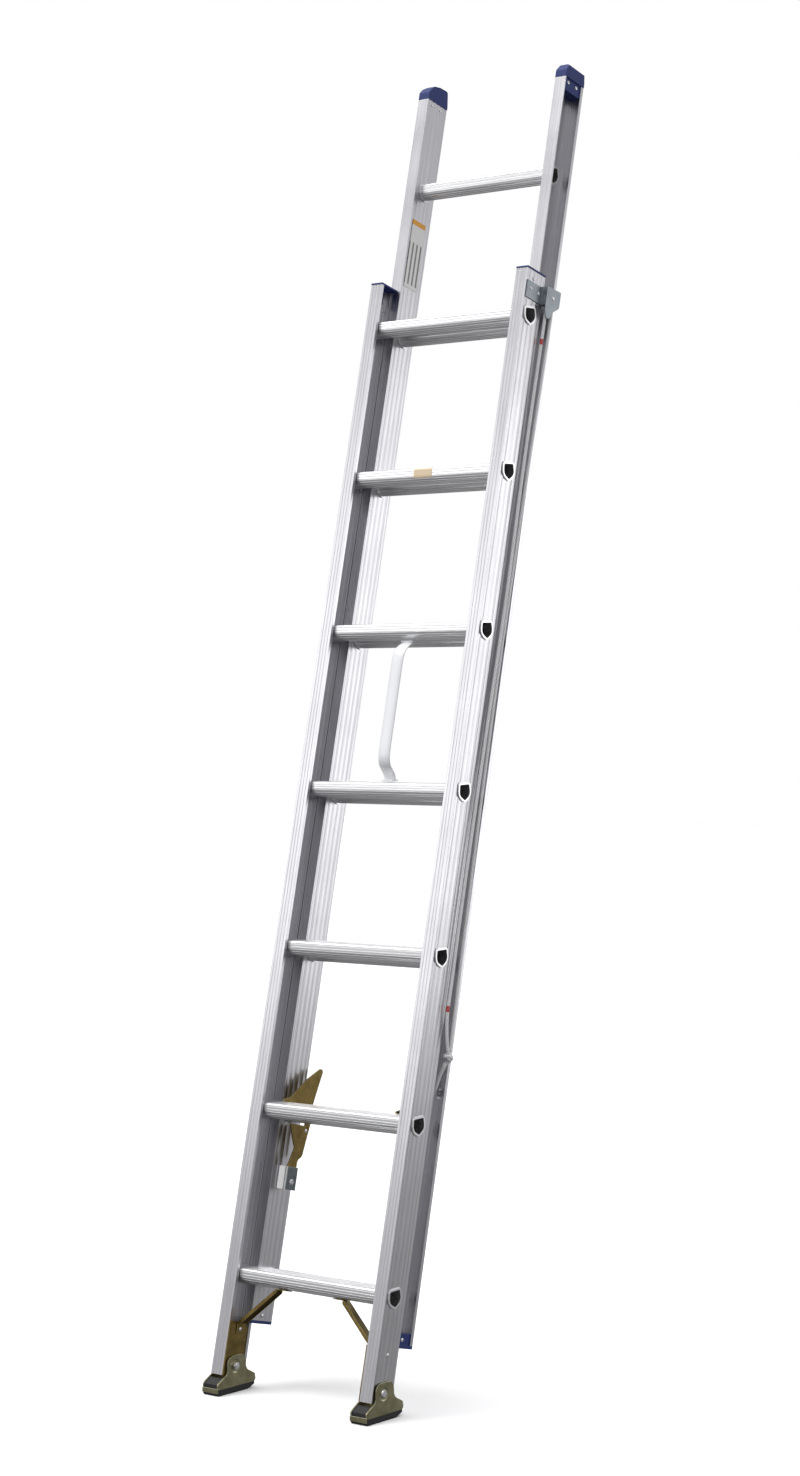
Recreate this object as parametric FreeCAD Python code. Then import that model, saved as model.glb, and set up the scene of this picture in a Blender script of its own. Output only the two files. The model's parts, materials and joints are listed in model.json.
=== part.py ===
"""Two-section aluminium extension ladder, standing on its shoes and leaning back in use.

Everything is drawn in the ladder's own frame: X across the ladder, Y through its depth
(away from the climber) and Z up along the rails, with Z = 0 at the lowest rung. The last
section leans it back and sets it on the floor. Lengths are in millimetres.
"""
import FreeCAD, Part
import math
import os

V = FreeCAD.Vector

# ---------------------------------------------------------------- driving dimensions
LEAN = 12.5                # degrees back from upright, the safe working slope
PITCH = 330.0              # rung to rung
BASE_RUNGS = 7
FLY_RUNGS = 8
TRAVEL_STEPS = 4           # rung pitches that the fly section can be raised
GAP = 0.35                 # between pieces that move on each other
FIT = 0.05                 # between pieces that are fastened together

BASE_WIDTH = 404.4         # over the base section's rails
BASE_DEPTH = 63.5
BASE_FLANGE = 28.4         # front flange, across the ladder
BASE_WALL = 2.0
BASE_FOOT = -200.0         # lower end of the base rails
BASE_HEAD = 93.0           # base rail above its highest rung
BASE_LIP = 7.0             # return lip on the front flange

FLY_FLANGE = 26.4
FLY_DEPTH = 66.7
FLY_WALL = 2.2
FLY_SIDE_GAP = 1.3         # rear base flange to the fly's web
FLY_PLAY = 1.2             # front fly flange to the base's guide ribs
FLY_FRONT = 53.3           # front face of the fly rails
FLY_LEG = 88.0             # fly rail below its lowest rung
FLY_HEAD = 202.5          # fly rail above its highest rung

RUNG_HEIGHT = 34.0
RUNG_DEPTH = 37.0
RUNG_WALL = 1.8
RUNG_CORNER = 5.0
RUNG_SIDE = 15.0           # radius of the bulging sides
RUNG_KEEL = 8.5            # radius of the rounded underside
TREAD_TILT = 15.0          # turns the flat tread level on a leaning ladder
RUNG_Y = 27.5              # base rung centre behind the front face
COLLAR = 3.2               # how far the swaged ring stands out round a rung end
COLLAR_THICK = 2.2
FLUTE_RADIUS = 0.7
FLUTES = 22

GROOVE_WIDTH = 1.6
GROOVE_DEPTH = 0.5
WEB_DIP = 0.6              # depth of the wide hollows along a rail's web

CAP_THICK = 3.5
END_CAP_THICK = 6.0
CROWN_HEIGHT = 40.0        # fly top cap over the rail's end, at its inner side
CROWN_FALL = 14.0          # how much lower its outer side is
TOP_PLUG = 27.0            # how far the fly's top cap reaches into the rail
BOTTOM_PLUG = 22.0

SHOE_PIVOT = V(0, 30.0, -179.5)
SHOE_PLATE = 2.5
SHOE_FLOOR = 40.0          # pivot to the underside of the shoe's floor plate
SHOE_TOE = 53.0            # pivot to the front of the shoe
SHOE_HEEL = 62.0
SOLE_THICK = 12.5
DISH_RADIUS = 14.0
DISH_DEPTH = 1.5
BOLT_RADIUS = 5.0

FOOT_PLATE = 2.5
FOOT_PLATE_TOP = -93.0
FOOT_RIVET_Z = -108.0
BRACE_THICK = 2.0
BRACE_WIDTH = 20.0
BRACE_REACH = 92.0         # rail to the brace's fixing under the rung

BRACKET_THICK = 2.0
BRACKET_DROP = 61.0        # base rail's top to the bracket's lower edge
BRACKET_HEIGHT = 39.0
BRACKET_FRONT = 3.5
PULLEY_Y = 80.0
PULLEY_DROP = 41.0         # base rail's top to the pulley's axle
PULLEY_RADIUS = 12.0
ROPE_DIAMETER = 7.0
GROOVE_RADIUS = 6.0        # bottom of the pulley's groove
AXLE_RADIUS = 2.5
RIVET_SHANK = 2.4

HOOK_THICK = 3.2
HOOK_PIVOT_Y = 85.0
HOOK_HANG = 138.0          # pivot below the rung that the hook holds
HOOK_PIN = 4.0
HOOK_OPENING = 1.75        # hook to the fly rung that it straddles
HOOK_SEAT = 0.6            # hook to the top of the base rung that it rests on
LATCH_WIDTH = 27.3         # latch bracket, from the rail towards the middle
LATCH_BELOW = 16.0         # latch bracket either side of the hook's pivot
LATCH_ABOVE = 30.0
LATCH_THICK = 2.0

GRIP_RUNG = 4              # the grip is fixed between this base rung and the next
GRIP_X = 10.0
GRIP_WIDTH = 30.0
GRIP_THICK = 5.0
GRIP_BOW = 34.0            # how far the grip bows towards the climber

LABEL_THICK = 0.4
LABEL_PITCHES = 6.564      # label's centre above the lowest rung, in rung pitches
LABEL_WIDTH = 44.0
LABEL_HEIGHT = 150.0
RUNG_LABEL_RUNG = 6
RUNG_LABEL_WIDTH = 46.0

ROPE_SLOT_Y = 106.0
SLOT_ABOVE_RUNG = 72.0     # rope slot above the second fly rung
KNOT_ABOVE_SLOT = 71.0
KNOT_RADIUS = 10.0
STOPPER_RADIUS = 9.0       # the tails' own knot, inside the fly rail
ROPE_SLOT_WIDTH = 9.0
ROPE_SLOT_HEIGHT = 19.0

# ---------------------------------------------------------------- worked-out places
BASE_OUT = BASE_WIDTH / 2
BASE_IN = BASE_OUT - BASE_FLANGE
WEB_IN = BASE_OUT - BASE_WALL
FLY_REAR = FLY_FRONT + FLY_DEPTH
FLY_RUNG_Y = FLY_FRONT + FLY_DEPTH / 2
BASE_REAR_IN = BASE_DEPTH - BASE_WALL - 0.4            # front of the rear flange
FLY_FLANGE_BACK = FLY_FRONT + FLY_WALL
FLY_IN = BASE_OUT - 36.9                               # inner face of the fly's web
FLY_WEB_OUT = FLY_IN + FLY_WALL
FLY_OUT = FLY_IN + FLY_FLANGE
REAR_FLANGE_END = FLY_WEB_OUT + FLY_SIDE_GAP + 0.7
FLY_FOOT = -FLY_LEG
FLY_TOP = (FLY_RUNGS - 1) * PITCH + FLY_HEAD
BASE_TOP = (BASE_RUNGS - 1) * PITCH + BASE_HEAD
BRACKET_LOW = BASE_TOP - BRACKET_DROP
BRACKET_HIGH = BRACKET_LOW + BRACKET_HEIGHT
PULLEY_Z = BASE_TOP - PULLEY_DROP
HOOK_RUNG_Z = PITCH                                    # the hooks rest on base rung 2
HOOK_PIVOT = V(0, HOOK_PIVOT_Y, HOOK_RUNG_Z - HOOK_HANG)
LATCH_LOW = HOOK_PIVOT.z - LATCH_BELOW
LATCH_HIGH = HOOK_PIVOT.z + LATCH_ABOVE
LABEL_Z = LABEL_PITCHES * PITCH
ROPE_SLOT_Z = PITCH + SLOT_ABOVE_RUNG
KNOT_Z = ROPE_SLOT_Z + KNOT_ABOVE_SLOT
TOE_CLEAR_RADIUS = math.hypot(SHOE_PIVOT.y, SHOE_PIVOT.z - BASE_FOOT) + 2.5

nodes = {}


# ---------------------------------------------------------------- drawing helpers
def box(x0, x1, y0, y1, z0, z1):
    return Part.makeBox(x1 - x0, y1 - y0, z1 - z0, V(x0, y0, z0))


def rod(start, end, radius):
    axis = end - start
    return Part.makeCylinder(radius, axis.Length, start, axis)


def plate_xy(points, z0, z1):
    """A flat outline in X and Y, made solid from z0 to z1."""
    corners = [V(x, y, z0) for x, y in points]
    return Part.Face(Part.makePolygon(corners + corners[:1])).extrude(V(0, 0, z1 - z0))


def plate_yz(points, x0, x1):
    """A flat outline in Y and Z, made solid from x0 to x1."""
    corners = [V(x0, y, z) for y, z in points]
    return Part.Face(Part.makePolygon(corners + corners[:1])).extrude(V(x1 - x0, 0, 0))


def rounded_yz(points, x0, x1):
    """As plate_yz, with each corner rounded: a point is its Y, its Z and its radius."""
    corners = [V(x0, y, z) for y, z, _ in points]
    count = len(corners)
    edges = []
    cuts = []
    for i, (_, _, radius) in enumerate(points):
        a = corners[i - 1] - corners[i]
        b = corners[(i + 1) % count] - corners[i]
        slope = math.tan((math.pi - a.getAngle(b)) / 2)
        cut = min(radius * slope, 0.48 * min(a.Length, b.Length))
        a.normalize()
        b.normalize()
        cuts.append((corners[i] + a * cut, corners[i] + b * cut, a + b, cut / slope if slope else 0))
    for i, (enter, leave, inward, radius) in enumerate(cuts):
        if (enter - leave).Length > 0.02:
            half = inward.Length / 2
            reach = radius / math.sqrt(1 - half * half) - radius
            middle = corners[i] + V(inward).normalize() * reach
            edges.append(Part.Arc(enter, middle, leave).toShape())
            edges.append(Part.LineSegment(leave, cuts[(i + 1) % count][0]).toShape())
        else:
            edges.append(Part.LineSegment(enter, cuts[(i + 1) % count][0]).toShape())
    return Part.Face(Part.Wire(edges)).extrude(V(x1 - x0, 0, 0))


def mirrored(shape):
    return shape.mirror(V(0, 0, 0), V(1, 0, 0))


def pair(name, right):
    """Stores a right-hand piece and its left-hand mirror image."""
    nodes[name + "_right"] = right
    nodes[name + "_left"] = mirrored(right)


def rivet(centre, direction, grip, radius=RIVET_SHANK, head=4.2, dome=1.6):
    """A rivet through a stack: shank over the grip, with a low dome at each end."""
    direction = V(direction).normalize()
    far = centre + direction * grip
    shank = rod(centre, far, radius)
    domes = [cap_of_sphere(far, direction, head, dome), cap_of_sphere(centre, -direction, head, dome)]
    return shank.fuse(domes)


def cap_of_sphere(foot, direction, radius, height):
    """A low dome on a round foot."""
    ball = (radius * radius + height * height) / (2 * height)
    slope = math.degrees(math.asin((ball - height) / ball))
    return Part.makeSphere(ball, foot - direction * (ball - height), direction, slope, 90, 360)


def hull_wire(circles, x):
    """The outline round three circles in the YZ plane, as tangent lines and arcs."""
    edges = []
    count = len(circles)
    tangents = []
    for i in range(count):
        (y1, z1, r1), (y2, z2, r2) = circles[i], circles[(i + 1) % count]
        span = math.hypot(y2 - y1, z2 - z1)
        angle = math.atan2(z2 - z1, y2 - y1) - math.acos((r1 - r2) / span)
        ny, nz = math.cos(angle), math.sin(angle)
        tangents.append((V(x, y1 + r1 * ny, z1 + r1 * nz), V(x, y2 + r2 * ny, z2 + r2 * nz), angle))
    for i in range(count):
        start, end, angle = tangents[i]
        edges.append(Part.LineSegment(start, end).toShape())
        after, _, next_angle = tangents[(i + 1) % count]
        y, z, r = circles[(i + 1) % count]
        if next_angle < angle:
            next_angle += 2 * math.pi
        middle = (angle + next_angle) / 2
        edges.append(Part.Arc(end, V(x, y + r * math.cos(middle), z + r * math.sin(middle)), after).toShape())
    return Part.Wire(edges)


def rung_circles(y, z, grow):
    """The circles that the D-shaped rung section is drawn round, turned by the tread's tilt."""
    half, top = RUNG_DEPTH / 2, RUNG_HEIGHT / 2
    side = (half - RUNG_SIDE, top - RUNG_SIDE - 0.8, RUNG_SIDE)
    corner = (half - RUNG_CORNER - 1.3, top - RUNG_CORNER, RUNG_CORNER)
    drawn = [(0, RUNG_KEEL - top, RUNG_KEEL), side, corner,
             (-corner[0], corner[1], RUNG_CORNER), (-side[0], side[1], RUNG_SIDE)]
    c, s = math.cos(math.radians(TREAD_TILT)), math.sin(math.radians(TREAD_TILT))
    turned = [(a * c - b * s, a * s + b * c, r) for a, b, r in drawn]
    middle = (max(b + r for _, b, r in turned) + min(b - r for _, b, r in turned)) / 2
    return [(y + a, z + b - middle, r + grow) for a, b, r in turned]


RUNG_TOP = max(z + r for _, z, r in rung_circles(0, 0, 0))
RUNG_BACK = max(y + r for y, _, r in rung_circles(0, 0, 0))


def rung_face(y, z, grow, x):
    """The rung section, flat on top, bulging at the sides and rounded below."""
    return Part.Face(hull_wire(rung_circles(y, z, grow), x))


def rung_bar(y, z, grow, x0, x1):
    return rung_face(y, z, grow, x0).extrude(V(x1 - x0, 0, 0))


# ---------------------------------------------------------------- rails
def groove_cutters(places, face, direction, z0, z1):
    """Shallow grooves that run the length of a flange."""
    near, far = sorted((face, face + direction * GROOVE_DEPTH))
    half = GROOVE_WIDTH / 2
    return [box(place - half, place + half, near, far, z0, z1) for place in places]


def hollow_cutters(ridges, face, direction, z0, z1):
    """Wide shallow hollows along a web, one between each ridge and the next."""
    cutters = []
    for low, high in zip(ridges, ridges[1:]):
        half = (high - low - 1.0) / 2
        radius = (half * half + WEB_DIP * WEB_DIP) / (2 * WEB_DIP)
        x = face - direction * (radius - WEB_DIP)
        cutters.append(rod(V(x, (low + high) / 2, z0 - 1), V(x, (low + high) / 2, z1 + 1), radius))
    return cutters


def base_rail():
    """A channel open to the inside, with a guide slot for the fly at its rear."""
    bead = BASE_REAR_IN - (FLY_FLANGE_BACK + FLY_PLAY)
    rib_back = FLY_FRONT - FLY_PLAY + 0.1
    outline = [(BASE_OUT, 0), (BASE_OUT, BASE_DEPTH),
               (REAR_FLANGE_END, BASE_DEPTH), (REAR_FLANGE_END, BASE_REAR_IN - bead),
               (REAR_FLANGE_END + 2.4, BASE_REAR_IN - bead), (REAR_FLANGE_END + 2.4, BASE_REAR_IN),
               (WEB_IN, BASE_REAR_IN), (WEB_IN, rib_back), (FLY_OUT - 3, rib_back),
               (FLY_OUT - 3, rib_back - BASE_WALL), (WEB_IN, rib_back - BASE_WALL),
               (WEB_IN, BASE_WALL + 0.4), (BASE_IN + BASE_WALL, BASE_WALL + 0.4),
               (BASE_IN + BASE_WALL, BASE_LIP), (BASE_IN, BASE_LIP), (BASE_IN, 0)]
    rail = plate_xy(outline, BASE_FOOT, BASE_TOP)
    web_ridges = [1.5, 12.3, 27.0, 41.5, 53.0, 62.0]
    front_grooves = [BASE_OUT - 6.6, BASE_OUT - 14.1, BASE_OUT - 21.6]
    rail = rail.cut(hollow_cutters(web_ridges, BASE_OUT, -1, BASE_FOOT, BASE_TOP)
                    + groove_cutters(front_grooves, 0, 1, BASE_FOOT, BASE_TOP))
    holes = [rung_bar(RUNG_Y, i * PITCH, FIT, WEB_IN - 1, BASE_OUT + 1) for i in range(BASE_RUNGS)]
    holes.append(rod(V(BASE_IN - 1, SHOE_PIVOT.y, SHOE_PIVOT.z),
                     V(BASE_OUT + 1, SHOE_PIVOT.y, SHOE_PIVOT.z), BOLT_RADIUS + FIT))
    holes.append(rod(V(WEB_IN - 1, RUNG_Y + 3, FOOT_RIVET_Z),
                     V(BASE_OUT + 1, RUNG_Y + 3, FOOT_RIVET_Z), RIVET_SHANK + FIT))
    return rail.cut(holes)


def fly_rail(slotted):
    """A channel open to the outside, so that its front flange runs in the base rail."""
    lip = 8.0
    wall = FLY_WALL
    outline = [(FLY_IN, FLY_FRONT), (FLY_OUT, FLY_FRONT), (FLY_OUT, FLY_FLANGE_BACK),
               (FLY_WEB_OUT, FLY_FLANGE_BACK), (FLY_WEB_OUT, FLY_REAR - wall),
               (FLY_OUT - wall, FLY_REAR - wall), (FLY_OUT - wall, FLY_REAR - lip),
               (FLY_OUT, FLY_REAR - lip), (FLY_OUT, FLY_REAR), (FLY_IN, FLY_REAR)]
    rail = plate_xy(outline, FLY_FOOT, FLY_TOP)
    web_ridges = [FLY_FRONT + y for y in (1.5, 12.0, 26.0, 40.5, 54.5, 65.2)]
    rear_grooves = [FLY_OUT - 6.6, FLY_OUT - 14.1, FLY_OUT - 21.6]
    rail = rail.cut(hollow_cutters(web_ridges, FLY_IN, 1, FLY_FOOT, FLY_TOP)
                    + groove_cutters(rear_grooves, FLY_REAR, -1, FLY_FOOT, FLY_TOP))
    holes = [rung_bar(FLY_RUNG_Y, i * PITCH, FIT, FLY_IN - 1, FLY_WEB_OUT + 1)
             for i in range(FLY_RUNGS)]
    holes.append(rod(V(FLY_IN - 1, HOOK_PIVOT.y, HOOK_PIVOT.z),
                     V(FLY_WEB_OUT + 1, HOOK_PIVOT.y, HOOK_PIVOT.z), HOOK_PIN + FIT))
    for y, z in latch_rivet_places() + cap_rivet_places():
        holes.append(rod(V(FLY_IN - 1, y, z), V(FLY_WEB_OUT + 1, y, z), RIVET_SHANK + FIT))
    if slotted:
        holes.append(box(FLY_IN - 1, FLY_WEB_OUT + 1,
                         ROPE_SLOT_Y - ROPE_SLOT_WIDTH / 2, ROPE_SLOT_Y + ROPE_SLOT_WIDTH / 2,
                         ROPE_SLOT_Z - ROPE_SLOT_HEIGHT / 2, ROPE_SLOT_Z + ROPE_SLOT_HEIGHT / 2))
    return rail.cut(holes)


def latch_rivet_places():
    return [(HOOK_PIVOT.y - 8, LATCH_HIGH - 8), (HOOK_PIVOT.y - 9, LATCH_LOW + 5)]


def cap_rivet_places():
    top = FLY_TOP - 8.5
    return [(FLY_RUNG_Y - 18, top), (FLY_RUNG_Y + 11.5, top - 0.5), (FLY_RUNG_Y + 1, FLY_FOOT + 10)]


nodes["base_rail_right"] = base_rail()
nodes["base_rail_left"] = mirrored(nodes["base_rail_right"])
nodes["fly_rail_right"] = fly_rail(True)
nodes["fly_rail_left"] = mirrored(fly_rail(False))


# ---------------------------------------------------------------- rungs
def rung(y, web_in, web_out):
    """A D-shaped tube swaged into a rail web at each end, with a ring either side of the web."""
    end = web_out + COLLAR_THICK
    bar = rung_bar(y, 0, 0, -end, end)
    rings = []
    for side in (-1, 1):
        for near, far, grow in ((web_out, web_out + 1.2, COLLAR), (web_out, end, COLLAR - 1.2),
                                (web_in - COLLAR_THICK, web_in, COLLAR - 0.8)):
            low, high = sorted((side * near, side * far))
            rings.append(rung_bar(y, 0, grow, low, high))
    inner = web_in - COLLAR_THICK - 4
    outline = hull_wire(rung_circles(y, 0, 0), 0)
    flutes = [rod(V(-inner, spot.y, spot.z), V(inner, spot.y, spot.z), FLUTE_RADIUS)
              for spot in outline.discretize(Number=FLUTES + 1)[:-1]]
    bore = rung_bar(y, 0, -RUNG_WALL, -end - 1, end + 1)
    return bar.fuse(rings).cut(flutes + [bore]).removeSplitter()


base_rung = rung(RUNG_Y, WEB_IN, BASE_OUT)
fly_rung = rung(FLY_RUNG_Y, FLY_IN, FLY_WEB_OUT)
for i in range(BASE_RUNGS):
    nodes["base_rung_%d" % (i + 1)] = base_rung.translated(V(0, 0, i * PITCH))
for i in range(FLY_RUNGS):
    nodes["fly_rung_%d" % (i + 1)] = fly_rung.translated(V(0, 0, i * PITCH))


# ---------------------------------------------------------------- caps
def base_cap():
    """A thin plastic cap on the base rail, notched so that the fly can slide past."""
    over = 0.6
    low, high = BASE_TOP, BASE_TOP + CAP_THICK
    fly_front = FLY_FRONT - FLY_PLAY
    cap = box(BASE_IN - over, BASE_OUT + over, -over, fly_front, low, high)
    cap = cap.fuse(box(FLY_OUT + FLY_PLAY, BASE_OUT + over, fly_front - 1, BASE_DEPTH + over, low, high))
    tab = box(WEB_IN - 2.5, WEB_IN - FIT, RUNG_Y - 15, RUNG_Y + 11, low - 30, low + 1)
    hole = rod(V(WEB_IN - 4, RUNG_Y - 2, low - 16), V(WEB_IN + 1, RUNG_Y - 2, low - 16),
               RIVET_SHANK + FIT)
    return cap.fuse(tab).removeSplitter().cut(hole)


def crown():
    """The top cap's rounded crown, which falls away towards its outer side."""
    over, top = 0.5, FLY_TOP
    front, rear = FLY_FRONT - over, FLY_REAR + over
    high = CROWN_HEIGHT
    outline = [(front, top, 0.5), (front, top + 0.4 * high, 8), (front + 13, top + 0.82 * high, 14),
               (front + 34, top + 0.96 * high, 30), (rear - 6, top + high, 6), (rear, top + 0.2 * high, 8),
               (rear, top, 0.5)]
    body = rounded_yz(outline, FLY_IN - over, FLY_OUT + over)
    side = FLY_OUT + over
    corners = [V(FLY_IN + 4, front - 1, top + high + 1), V(side + 1, front - 1, top + high - CROWN_FALL),
               V(side + 1, front - 1, top + high + 9), V(FLY_IN + 4, front - 1, top + high + 9)]
    fall = Part.Face(Part.makePolygon(corners + corners[:1])).extrude(V(0, rear - front + 2, 0))
    return body.cut(fall)


def fly_cap(rail_end, reach, outwards, notched):
    """An end cap: a crown or a plate over the rail's end, and a plug that fills the channel."""
    far = rail_end + outwards * END_CAP_THICK
    low, high = sorted((rail_end, far))
    over = 0.5 if not notched else 0.0
    plate = box(FLY_IN - over, FLY_OUT + over, FLY_FRONT - over, FLY_REAR + over, low, high)
    if not notched:
        plate = crown()
    inner = rail_end - outwards * reach
    front = FLY_FLANGE_BACK + FIT
    if notched:
        front = BASE_DEPTH + FLY_PLAY
    low, high = sorted((inner, rail_end + outwards))
    plug = box(FLY_WEB_OUT + FIT, FLY_OUT - FLY_WALL - 0.3, front, FLY_REAR - FLY_WALL - FIT, low, high)
    cap = plate.fuse(plug)
    if notched:
        passage = box(FLY_WEB_OUT + 0.5, FLY_OUT + 1, FLY_FLANGE_BACK, BASE_DEPTH + FLY_PLAY,
                      min(rail_end, far) - 1, max(rail_end, far) + 1)
        cap = cap.cut(passage)
    holes = [rod(V(FLY_IN - 3, y, z), V(FLY_OUT + 3, y, z), RIVET_SHANK + FIT)
             for y, z in cap_rivet_places()]
    return cap.removeSplitter().cut(holes)


pair("base_cap", base_cap())
pair("fly_top_cap", fly_cap(FLY_TOP, TOP_PLUG, 1, False))
pair("fly_bottom_cap", fly_cap(FLY_FOOT, BOTTOM_PLUG, -1, True))


# ---------------------------------------------------------------- feet
EAR_OUTLINE = [(-SHOE_TOE, -SHOE_FLOOR, 0.5), (-SHOE_TOE, -29, 6), (-24, -13, 12), (-24, 21, 24),
               (30, 21, 23), (32, -11, 16), (SHOE_HEEL - 3, -24, 8), (SHOE_HEEL, -SHOE_FLOOR, 6)]


def shoe():
    """A pressed steel shoe: two ears joined by a floor plate, with a lip turned down in front."""
    outer = BASE_OUT + DISH_DEPTH + GAP
    inner = BASE_IN - FOOT_PLATE - GAP - DISH_DEPTH
    ear = rounded_yz(EAR_OUTLINE, outer, outer + SHOE_PLATE)
    far_ear = rounded_yz(EAR_OUTLINE, inner - SHOE_PLATE, inner)
    floor = box(inner - SHOE_PLATE, outer + SHOE_PLATE, -SHOE_TOE, SHOE_HEEL - 6,
                -SHOE_FLOOR, -SHOE_FLOOR + SHOE_PLATE)
    lip = box(inner - SHOE_PLATE, outer + SHOE_PLATE, -SHOE_TOE - SHOE_PLATE + 1, -SHOE_TOE + 1,
              -SHOE_FLOOR - 7, -SHOE_FLOOR + SHOE_PLATE)
    window = box(inner + 6, outer - 6, -SHOE_TOE + 9, -SHOE_TOE + 20,
                 -SHOE_FLOOR - 1, -SHOE_FLOOR + SHOE_PLATE + 1)
    body = ear.fuse([far_ear, floor, lip])
    for face, way in ((outer, 1), (inner, -1)):
        start = V(face - way * DISH_DEPTH, 0, 0)
        boss = Part.makeCone(DISH_RADIUS - 1, DISH_RADIUS + 1, DISH_DEPTH + 0.01, start, V(way, 0, 0))
        dish = Part.makeCone(DISH_RADIUS - 2.5, DISH_RADIUS, DISH_DEPTH + 0.02,
                             V(face + way * (SHOE_PLATE - DISH_DEPTH), 0, 0), V(way, 0, 0))
        body = body.fuse(boss).cut(dish)
    body = body.cut([window, rod(V(inner - 9, 0, 0), V(outer + 9, 0, 0), BOLT_RADIUS + FIT)])
    return body.removeSplitter()


def shoe_pad():
    """The rubber: a treaded sole under the shoe and a toe block that grips through a window."""
    outer = BASE_OUT + DISH_DEPTH + GAP
    inner = BASE_IN - FOOT_PLATE - GAP - DISH_DEPTH
    top, bottom = -SHOE_FLOOR - FIT, -SHOE_FLOOR - SOLE_THICK
    front, back = -SHOE_TOE + 1 + FIT, SHOE_HEEL - 5
    x0, x1 = inner - SHOE_PLATE, outer + SHOE_PLATE
    sole = plate_yz([(front, top), (front, bottom + 3), (front + 3, bottom), (back - 20, bottom),
                     (back, top - 5), (back, top)], x0, x1)
    neck = box(inner + 6 + FIT, outer - 6 - FIT, -SHOE_TOE + 9 + FIT, -SHOE_TOE + 20 - FIT,
               top - 1, -SHOE_FLOOR + SHOE_PLATE + 1)
    floor = -SHOE_FLOOR + SHOE_PLATE + FIT
    toe = plate_yz([(-SHOE_TOE + 1.5, floor), (-SHOE_TOE + 1.5, -30), (-38, -22.5), (-20, -14),
                    (-20, floor)], inner + FIT, outer - FIT)
    toe = toe.cut(rod(V(inner - 2, 0, 0), V(outer + 2, 0, 0), TOE_CLEAR_RADIUS))
    treads = [box(x0 - 1, x1 + 1, front + 14 + i * 15, front + 18 + i * 15, bottom - 1, bottom + 3)
              for i in range(5)]
    return sole.fuse([neck, toe]).cut(treads).removeSplitter()


def level(shape):
    """Turns a shoe drawn level about its pivot so that it stays level under the leaning ladder."""
    shape = shape.copy()
    shape.rotate(V(0, 0, 0), V(1, 0, 0), LEAN)
    shape.translate(SHOE_PIVOT)
    return shape


def foot_plate():
    """A steel plate that closes the rail's open side where the shoe hangs."""
    x0, x1 = BASE_IN - FOOT_PLATE, BASE_IN - FIT
    back = FLY_FLANGE_BACK + FLY_PLAY - 1
    step = FLY_FRONT - 2.5
    web = plate_yz([(0, BASE_FOOT), (back, BASE_FOOT), (back, FOOT_PLATE_TOP - 10),
                    (step, FOOT_PLATE_TOP - 10), (step, FOOT_PLATE_TOP), (0, FOOT_PLATE_TOP)], x0, x1)
    holes = [rod(V(x0 - 1, SHOE_PIVOT.y, SHOE_PIVOT.z), V(x1 + 1, SHOE_PIVOT.y, SHOE_PIVOT.z),
                 BOLT_RADIUS + FIT),
             rod(V(x0 - 1, RUNG_Y + 3, FOOT_RIVET_Z), V(x1 + 1, RUNG_Y + 3, FOOT_RIVET_Z),
                 RIVET_SHANK + FIT)]
    return web.cut(holes)


def foot_bolt():
    """The bolt that the shoe swings on, through both ears, the rail and the foot plate."""
    outer = BASE_OUT + DISH_DEPTH + GAP + SHOE_PLATE - DISH_DEPTH
    inner = BASE_IN - FOOT_PLATE - GAP - SHOE_PLATE
    y, z = SHOE_PIVOT.y, SHOE_PIVOT.z
    shank = rod(V(inner - 7, y, z), V(outer + GAP, y, z), BOLT_RADIUS)
    head = Part.makeCone(8.0, 6.5, 3.2, V(outer + GAP, y, z), V(1, 0, 0))
    corners = [V(inner - GAP - 5, y + 8.0 * math.cos(k * math.pi / 3), z + 8.0 * math.sin(k * math.pi / 3))
               for k in range(7)]
    nut = Part.Face(Part.makePolygon(corners)).extrude(V(5, 0, 0))
    return shank.fuse([head, nut]).removeSplitter()


def brace():
    """A bent strip from the lowest rung down to the rail, which squares the foot of the ladder."""
    y0, y1 = RUNG_Y + 3 - BRACE_WIDTH / 2, RUNG_Y + 3 + BRACE_WIDTH / 2
    wall = BASE_IN - FOOT_PLATE - FIT
    under = -RUNG_TOP - FIT                            # the section is centred, so it is as deep below
    reach = BASE_IN - BRACE_REACH
    t = BRACE_THICK
    outline = [(reach - 22, under), (reach + 3, under), (wall, FOOT_PLATE_TOP - 2),
               (wall, FOOT_RIVET_Z - 9), (wall - t, FOOT_RIVET_Z - 9), (wall - t, FOOT_PLATE_TOP - 3.5),
               (reach + 2, under - t), (reach - 22, under - t)]
    corners = [V(x, y0, z) for x, z in outline]
    strip = Part.Face(Part.makePolygon(corners + corners[:1])).extrude(V(0, y1 - y0, 0))
    rim = [(reach + 2, under - t), (wall - t, FOOT_PLATE_TOP - 3.5),
           (wall - t - 7, FOOT_PLATE_TOP - 3.5), (reach + 2, under - t - 6)]
    for start in (y0, y1 - t):
        corners = [V(x, start, z) for x, z in rim]
        strip = strip.fuse(Part.Face(Part.makePolygon(corners + corners[:1])).extrude(V(0, t, 0)))
    holes = [rod(V(wall - 6, RUNG_Y + 3, FOOT_RIVET_Z), V(wall + 1, RUNG_Y + 3, FOOT_RIVET_Z),
                 RIVET_SHANK + FIT),
             rod(V(reach - 12, RUNG_Y, under - 6), V(reach - 12, RUNG_Y, under + 1), RIVET_SHANK + FIT)]
    return strip.removeSplitter().cut(holes)


def foot_rivets():
    """One long rivet ties the brace, the foot plate and the rail web."""
    wall = BASE_IN - FOOT_PLATE - FIT - BRACE_THICK
    return rivet(V(wall, RUNG_Y + 3, FOOT_RIVET_Z), V(1, 0, 0), BASE_OUT - wall)


pair("shoe", level(shoe()))
pair("shoe_pad", level(shoe_pad()))
pair("foot_plate", foot_plate())
pair("foot_bolt", foot_bolt())
pair("brace", brace())
pair("foot_rivet", foot_rivets())


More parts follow.
